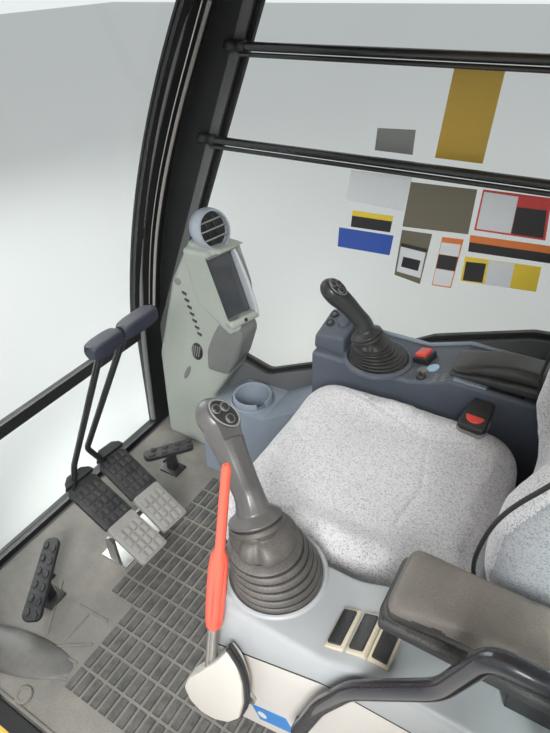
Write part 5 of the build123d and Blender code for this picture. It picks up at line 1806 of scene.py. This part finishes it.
# %% Buckle
clip_low, clip_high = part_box("belt_buckle")
BUCKLE_TURN = Matrix.Rotation(math.radians(86), 4, "Z") @ Matrix.Rotation(math.radians(7), 4, "Y")
BUCKLE = Matrix.Translation((-0.302, pad_low.y + 0.012, clip_high.z - 0.002)) @ BUCKLE_TURN
shell = slab("buckle_shell", ((-0.034, -0.021), (0.042, -0.029), (0.052, -0.021), (0.052, 0.021),
                              (0.042, 0.029), (-0.034, 0.021)), -0.016, 0.012,
             axis="Z", corner=0.006, edge=0.006, rings=4)
present(place_by(shell, BUCKLE), black_plastic, "seat", replaces=["belt_buckle"])
rim = slab("buckle_rim", ((0.006, -0.0285), (0.050, -0.0285), (0.056, -0.020), (0.056, 0.020),
                          (0.050, 0.0285), (0.006, 0.0285)), -0.008, -0.001,
           axis="Z", corner=0.005, edge=0.002)
present(place_by(rim, BUCKLE), seal_grey, "seat")
points = [(0.020 + 0.020 * math.cos(math.radians(a)),
           0.0185 * math.sin(math.radians(a))) for a in range(-90, 91, 15)]
button = slab("buckle_button", points, 0.008, 0.0145, axis="Z", edge=0.002)
present(place_by(button, BUCKLE), button_red, "seat")
web = block("buckle_web", (-0.320, pad_low.y - 0.0225, 0.470),
            (-0.284, pad_low.y - 0.0195, clip_high.z - 0.008), edge=0.001, rings=1)
present(web, webbing, "seat")
print("buckle box", [round(c, 3) for c in (*clip_low, *clip_high)], "cushion side", round(pad_low.y, 3))

# %% [markdown]
# ## Windows, pillars and bars
# Rubber gaskets hold the flat panes. The gasket follows a pane's edge, so it is
# made from the pane: a copy keeps its narrow side faces only, these are widened
# across the pane, and Solidify gives them body.

# %% Gaskets
# Columns: pane, axis across it, body
FLAT_PANES = (("right_glass", 1, "cab"), ("quarter_glass", 1, "cab"), ("rear_glass", 0, "cab"),
              ("door_upper_glass", 1, "door"), ("door_lower_glass", 1, "door"))


def gasket(node, axis, body, width=0.018, proud=0.004):
    """A rubber ring around a flat pane's edge."""
    low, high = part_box(node)
    piece = own_copy(node, node + "_gasket")
    choose(piece, lambda middle, normal: abs(normal[axis]) > 0.5)
    bpy.ops.mesh.delete(type="FACE")
    leave()
    middle = (low[axis] + high[axis]) / 2
    grow = 1 + 2 * proud / (high[axis] - low[axis])
    for vertex in piece.data.vertices:
        vertex.co[axis] = middle + (vertex.co[axis] - middle) * grow
    modify(piece, "SOLIDIFY", thickness=width, offset=0.0, use_even_offset=True)
    present(piece, seal_rubber_and_shade, body)


for node, axis, body in FLAT_PANES:
    gasket(node, axis, body)
print("gaskets", len(FLAT_PANES))

# %% [markdown]
# The front pillars are black, with a dusty grey seal along the windscreen, a thin
# bright line down the middle and a worn grey bead near the rear edge. All three
# follow the same bent line, so one function draws them from offsets.

# %% Pillar seals
# The windscreen's edge on the pillar: X and Z from the top down
PILLAR_LINE = ((0.407, 1.324), (0.475, 1.198), (0.540, 1.070), (0.606, 0.920), (0.666, 0.744), (0.702, 0.573),
               (0.724, 0.406), (0.741, 0.220), (0.752, 0.090))
FLANGE_Y = -0.400
silver_line = surface("silver_line", (0.60, 0.60, 0.58), 0.30, metallic=0.8, dust=0.10)


def along_pillar(back, aside, radius, side, name, last=9):
    """A bead down the pillar, set back from the windscreen and out from the face; side is -1 on the right."""
    return tube(name, [(x - back, side * (-FLANGE_Y - aside), z) for x, z in PILLAR_LINE[:last]], radius,
                sides=3, steps=6)


seals, beads, lines = [], [], []
for side in (-1, 1):
    seals.append(along_pillar(-0.004, 0.001, 0.0085, side, "seal"))
    lines.append(along_pillar(0.030, 0.0002, 0.0016, side, "line", last=6))
    beads.append(along_pillar(0.048, 0.0000, 0.0042, side, "bead", last=6))
present(join("pillar_seals", seals), seal_grey, "cab")
present(join("pillar_lines", lines), silver_line, "cab")
present(join("pillar_beads", beads), pedal_pale, "cab")
print("pillar beads", len(seals) + len(lines) + len(beads))

# %% [markdown]
# Each guard bar is a pair of rails, a thick one from the CAD model and a thin one
# under it, and ends in a ferrule at the pillar.

# %% Guard rails and ferrules
bar_low, bar_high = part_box("guard_bars")
BAR_Y = (bar_low.y + bar_high.y) / 2 + 0.003
# Columns: height, front end
BARS = ((1.240, 0.372), (1.045, 0.470))
FERRULE = ((0.0105, 0.0), (0.0125, 0.003), (0.0125, 0.018), (0.0110, 0.020), (0.0110, 0.030), (0.0130, 0.033),
           (0.0130, 0.046), (0.0100, 0.050))
rails, ferrules = [], []
for z, front in BARS:
    rail_y, rail_z = BAR_Y + 0.004, z - 0.0145
    rails.append(tube("rail", ((-0.632, rail_y, rail_z), (front - 0.030, rail_y, rail_z)), 0.0048,
                      smooth=False))
    at = posed((front - 0.046, bar_low.y + 0.014, z), 90, "Y")
    ferrules.append(place_by(turned("ferrule", (0, 0, 0), FERRULE, sides=32), at))
present(join("guard_rails", rails), rod_black, "cab")
present(join("guard_ferrules", ferrules), black_plastic, "cab")
print("guard bars", len(BARS))

# %% [markdown]
# ## Labels on the right window
# The window is covered with labels. They stay blank here: plain coloured fields
# on the pane, in the right places and sizes. Fields of one colour are one piece.

# %% Blank labels
PANE_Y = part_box("right_glass")[1].y


def sticker(colour, roughness=0.45):
    """A label's plain finish in one colour."""
    return surface("label_" + "_".join(str(int(c * 100)) for c in colour), colour, roughness, spread=0.05,
                   dust=0.10)


ochre, yellow, blue = (0.56, 0.37, 0.045), (0.82, 0.60, 0.05), (0.035, 0.095, 0.42)
red, orange, white = (0.60, 0.05, 0.045), (0.72, 0.20, 0.04), (0.72, 0.74, 0.76)
black, brown, grey = (0.022, 0.022, 0.024), (0.155, 0.140, 0.095), (0.235, 0.245, 0.240)
# Columns: colour, layer, corners (X, Z) from the top front, going to the rear and down
LABELS = (
    (ochre, 1, (-0.099, 1.222), (-0.188, 1.223), (-0.178, 1.056), (-0.085, 1.056)),
    (grey, 1, (0.040, 1.100), (-0.040, 1.104), (-0.039, 1.056), (0.043, 1.056)),
    (white, 1, (0.094, 1.009), (-0.044, 1.011), (-0.032, 0.938), (0.105, 0.941)),
    (brown, 2, (-0.042, 1.002), (-0.177, 1.006), (-0.175, 0.913), (-0.034, 0.904)),
    (black, 1, (0.085, 0.920), (-0.011, 0.923), (-0.007, 0.885), (0.088, 0.881)),
    (yellow, 2, (0.085, 0.920), (-0.011, 0.923), (-0.0095, 0.911), (0.086, 0.908)),
    (blue, 1, (0.117, 0.874), (-0.016, 0.879), (-0.011, 0.831), (0.119, 0.826)),
    (brown, 1, (-0.034, 0.896), (-0.101, 0.899), (-0.089, 0.777), (-0.027, 0.786)),
    (white, 2, (-0.036, 0.862), (-0.093, 0.860), (-0.088, 0.792), (-0.032, 0.796)),
    (black, 3, (-0.036, 0.866), (-0.096, 0.864), (-0.094, 0.855), (-0.035, 0.858)),
    (black, 3, (-0.044, 0.835), (-0.084, 0.834), (-0.081, 0.808), (-0.041, 0.810)),
    (orange, 1, (-0.123, 0.897), (-0.168, 0.900), (-0.159, 0.784), (-0.116, 0.781)),
    (white, 2, (-0.124, 0.885), (-0.164, 0.888), (-0.163, 0.860), (-0.122, 0.858)),
    (black, 2, (-0.122, 0.857), (-0.163, 0.859), (-0.161, 0.826), (-0.120, 0.824)),
    (white, 2, (-0.120, 0.823), (-0.160, 0.825), (-0.157, 0.787), (-0.118, 0.784)),
    (red, 1, (-0.188, 1.008), (-0.313, 1.010), (-0.321, 0.928), (-0.185, 0.924)),
    (white, 2, (-0.191, 1.004), (-0.255, 1.004), (-0.256, 0.930), (-0.189, 0.928)),
    (black, 2, (-0.256, 0.984), (-0.310, 0.986), (-0.316, 0.932), (-0.257, 0.930)),
    (black, 1, (-0.180, 0.912), (-0.336, 0.919), (-0.342, 0.884), (-0.181, 0.876)),
    (orange, 2, (-0.180, 0.912), (-0.336, 0.919), (-0.338, 0.904), (-0.180, 0.897)),
    (yellow, 1, (-0.177, 0.864), (-0.327, 0.873), (-0.329, 0.818), (-0.176, 0.806)),
    (black, 2, (-0.181, 0.853), (-0.222, 0.857), (-0.222, 0.813), (-0.181, 0.809)),
    (white, 2, (-0.226, 0.866), (-0.277, 0.869), (-0.278, 0.814), (-0.227, 0.810)),
)
by_colour = {}
for colour, layer, *corners in LABELS:
    field = slab("label", corners, PANE_Y - 0.0002, PANE_Y + 0.0005 * layer, edge=0)
    by_colour.setdefault(colour, []).append(field)
for number, (colour, fields) in enumerate(by_colour.items()):
    present(join("window_labels_" + str(number), fields), sticker(colour), "cab")
print("labels", len(LABELS), "in", len(by_colour), "colours")

# %% [markdown]
# ## The outside
# The photograph shows only the inside, so the outside stays plain. A bead of seam
# sealer runs along each side of the roof, and six screws stand beside the hatch.

# %% Roof beads
beads = []
for side in (-1, 1):
    y, z = side * (OUTER_HALF - 0.0005), roof_low.z - 0.001
    beads.append(tube("bead", ((rear_low.x + 0.03, y, z), (0.250, y, z)), 0.0035, smooth=False))
present(join("roof_beads", beads), seal_rubber_and_shade, "cab")
print("roof beads", len(beads))

# %% Roof screws
hatch_low, hatch_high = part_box("roof_hatch")
SCREW_R, SCREW_H = 0.006, 0.004
WASHER = ((SCREW_R * 1.35, -0.0005), (SCREW_R * 1.35, 0.0015), (0.0002, 0.0015))
HEAD = ((SCREW_R, 0.001), (SCREW_R, SCREW_H - 0.001), (SCREW_R * 0.9, SCREW_H), (0.0002, SCREW_H))
screws = []
for x in (hatch_low.x - 0.030, hatch_high.x + 0.030):
    for share in (0.1, 0.5, 0.9):
        y = hatch_low.y + share * (hatch_high.y - hatch_low.y)
        screw = join("screw", [turned("washer", (0, 0, 0), WASHER, sides=24),
                               turned("head", (0, 0, 0), HEAD, sides=6)])
        screws.append(place_by(screw, aimed((x, y, roof_high.z), (0, 0, 1))))
present(join("roof_screws", screws), bare_steel, "cab")
print("roof screws", len(screws))
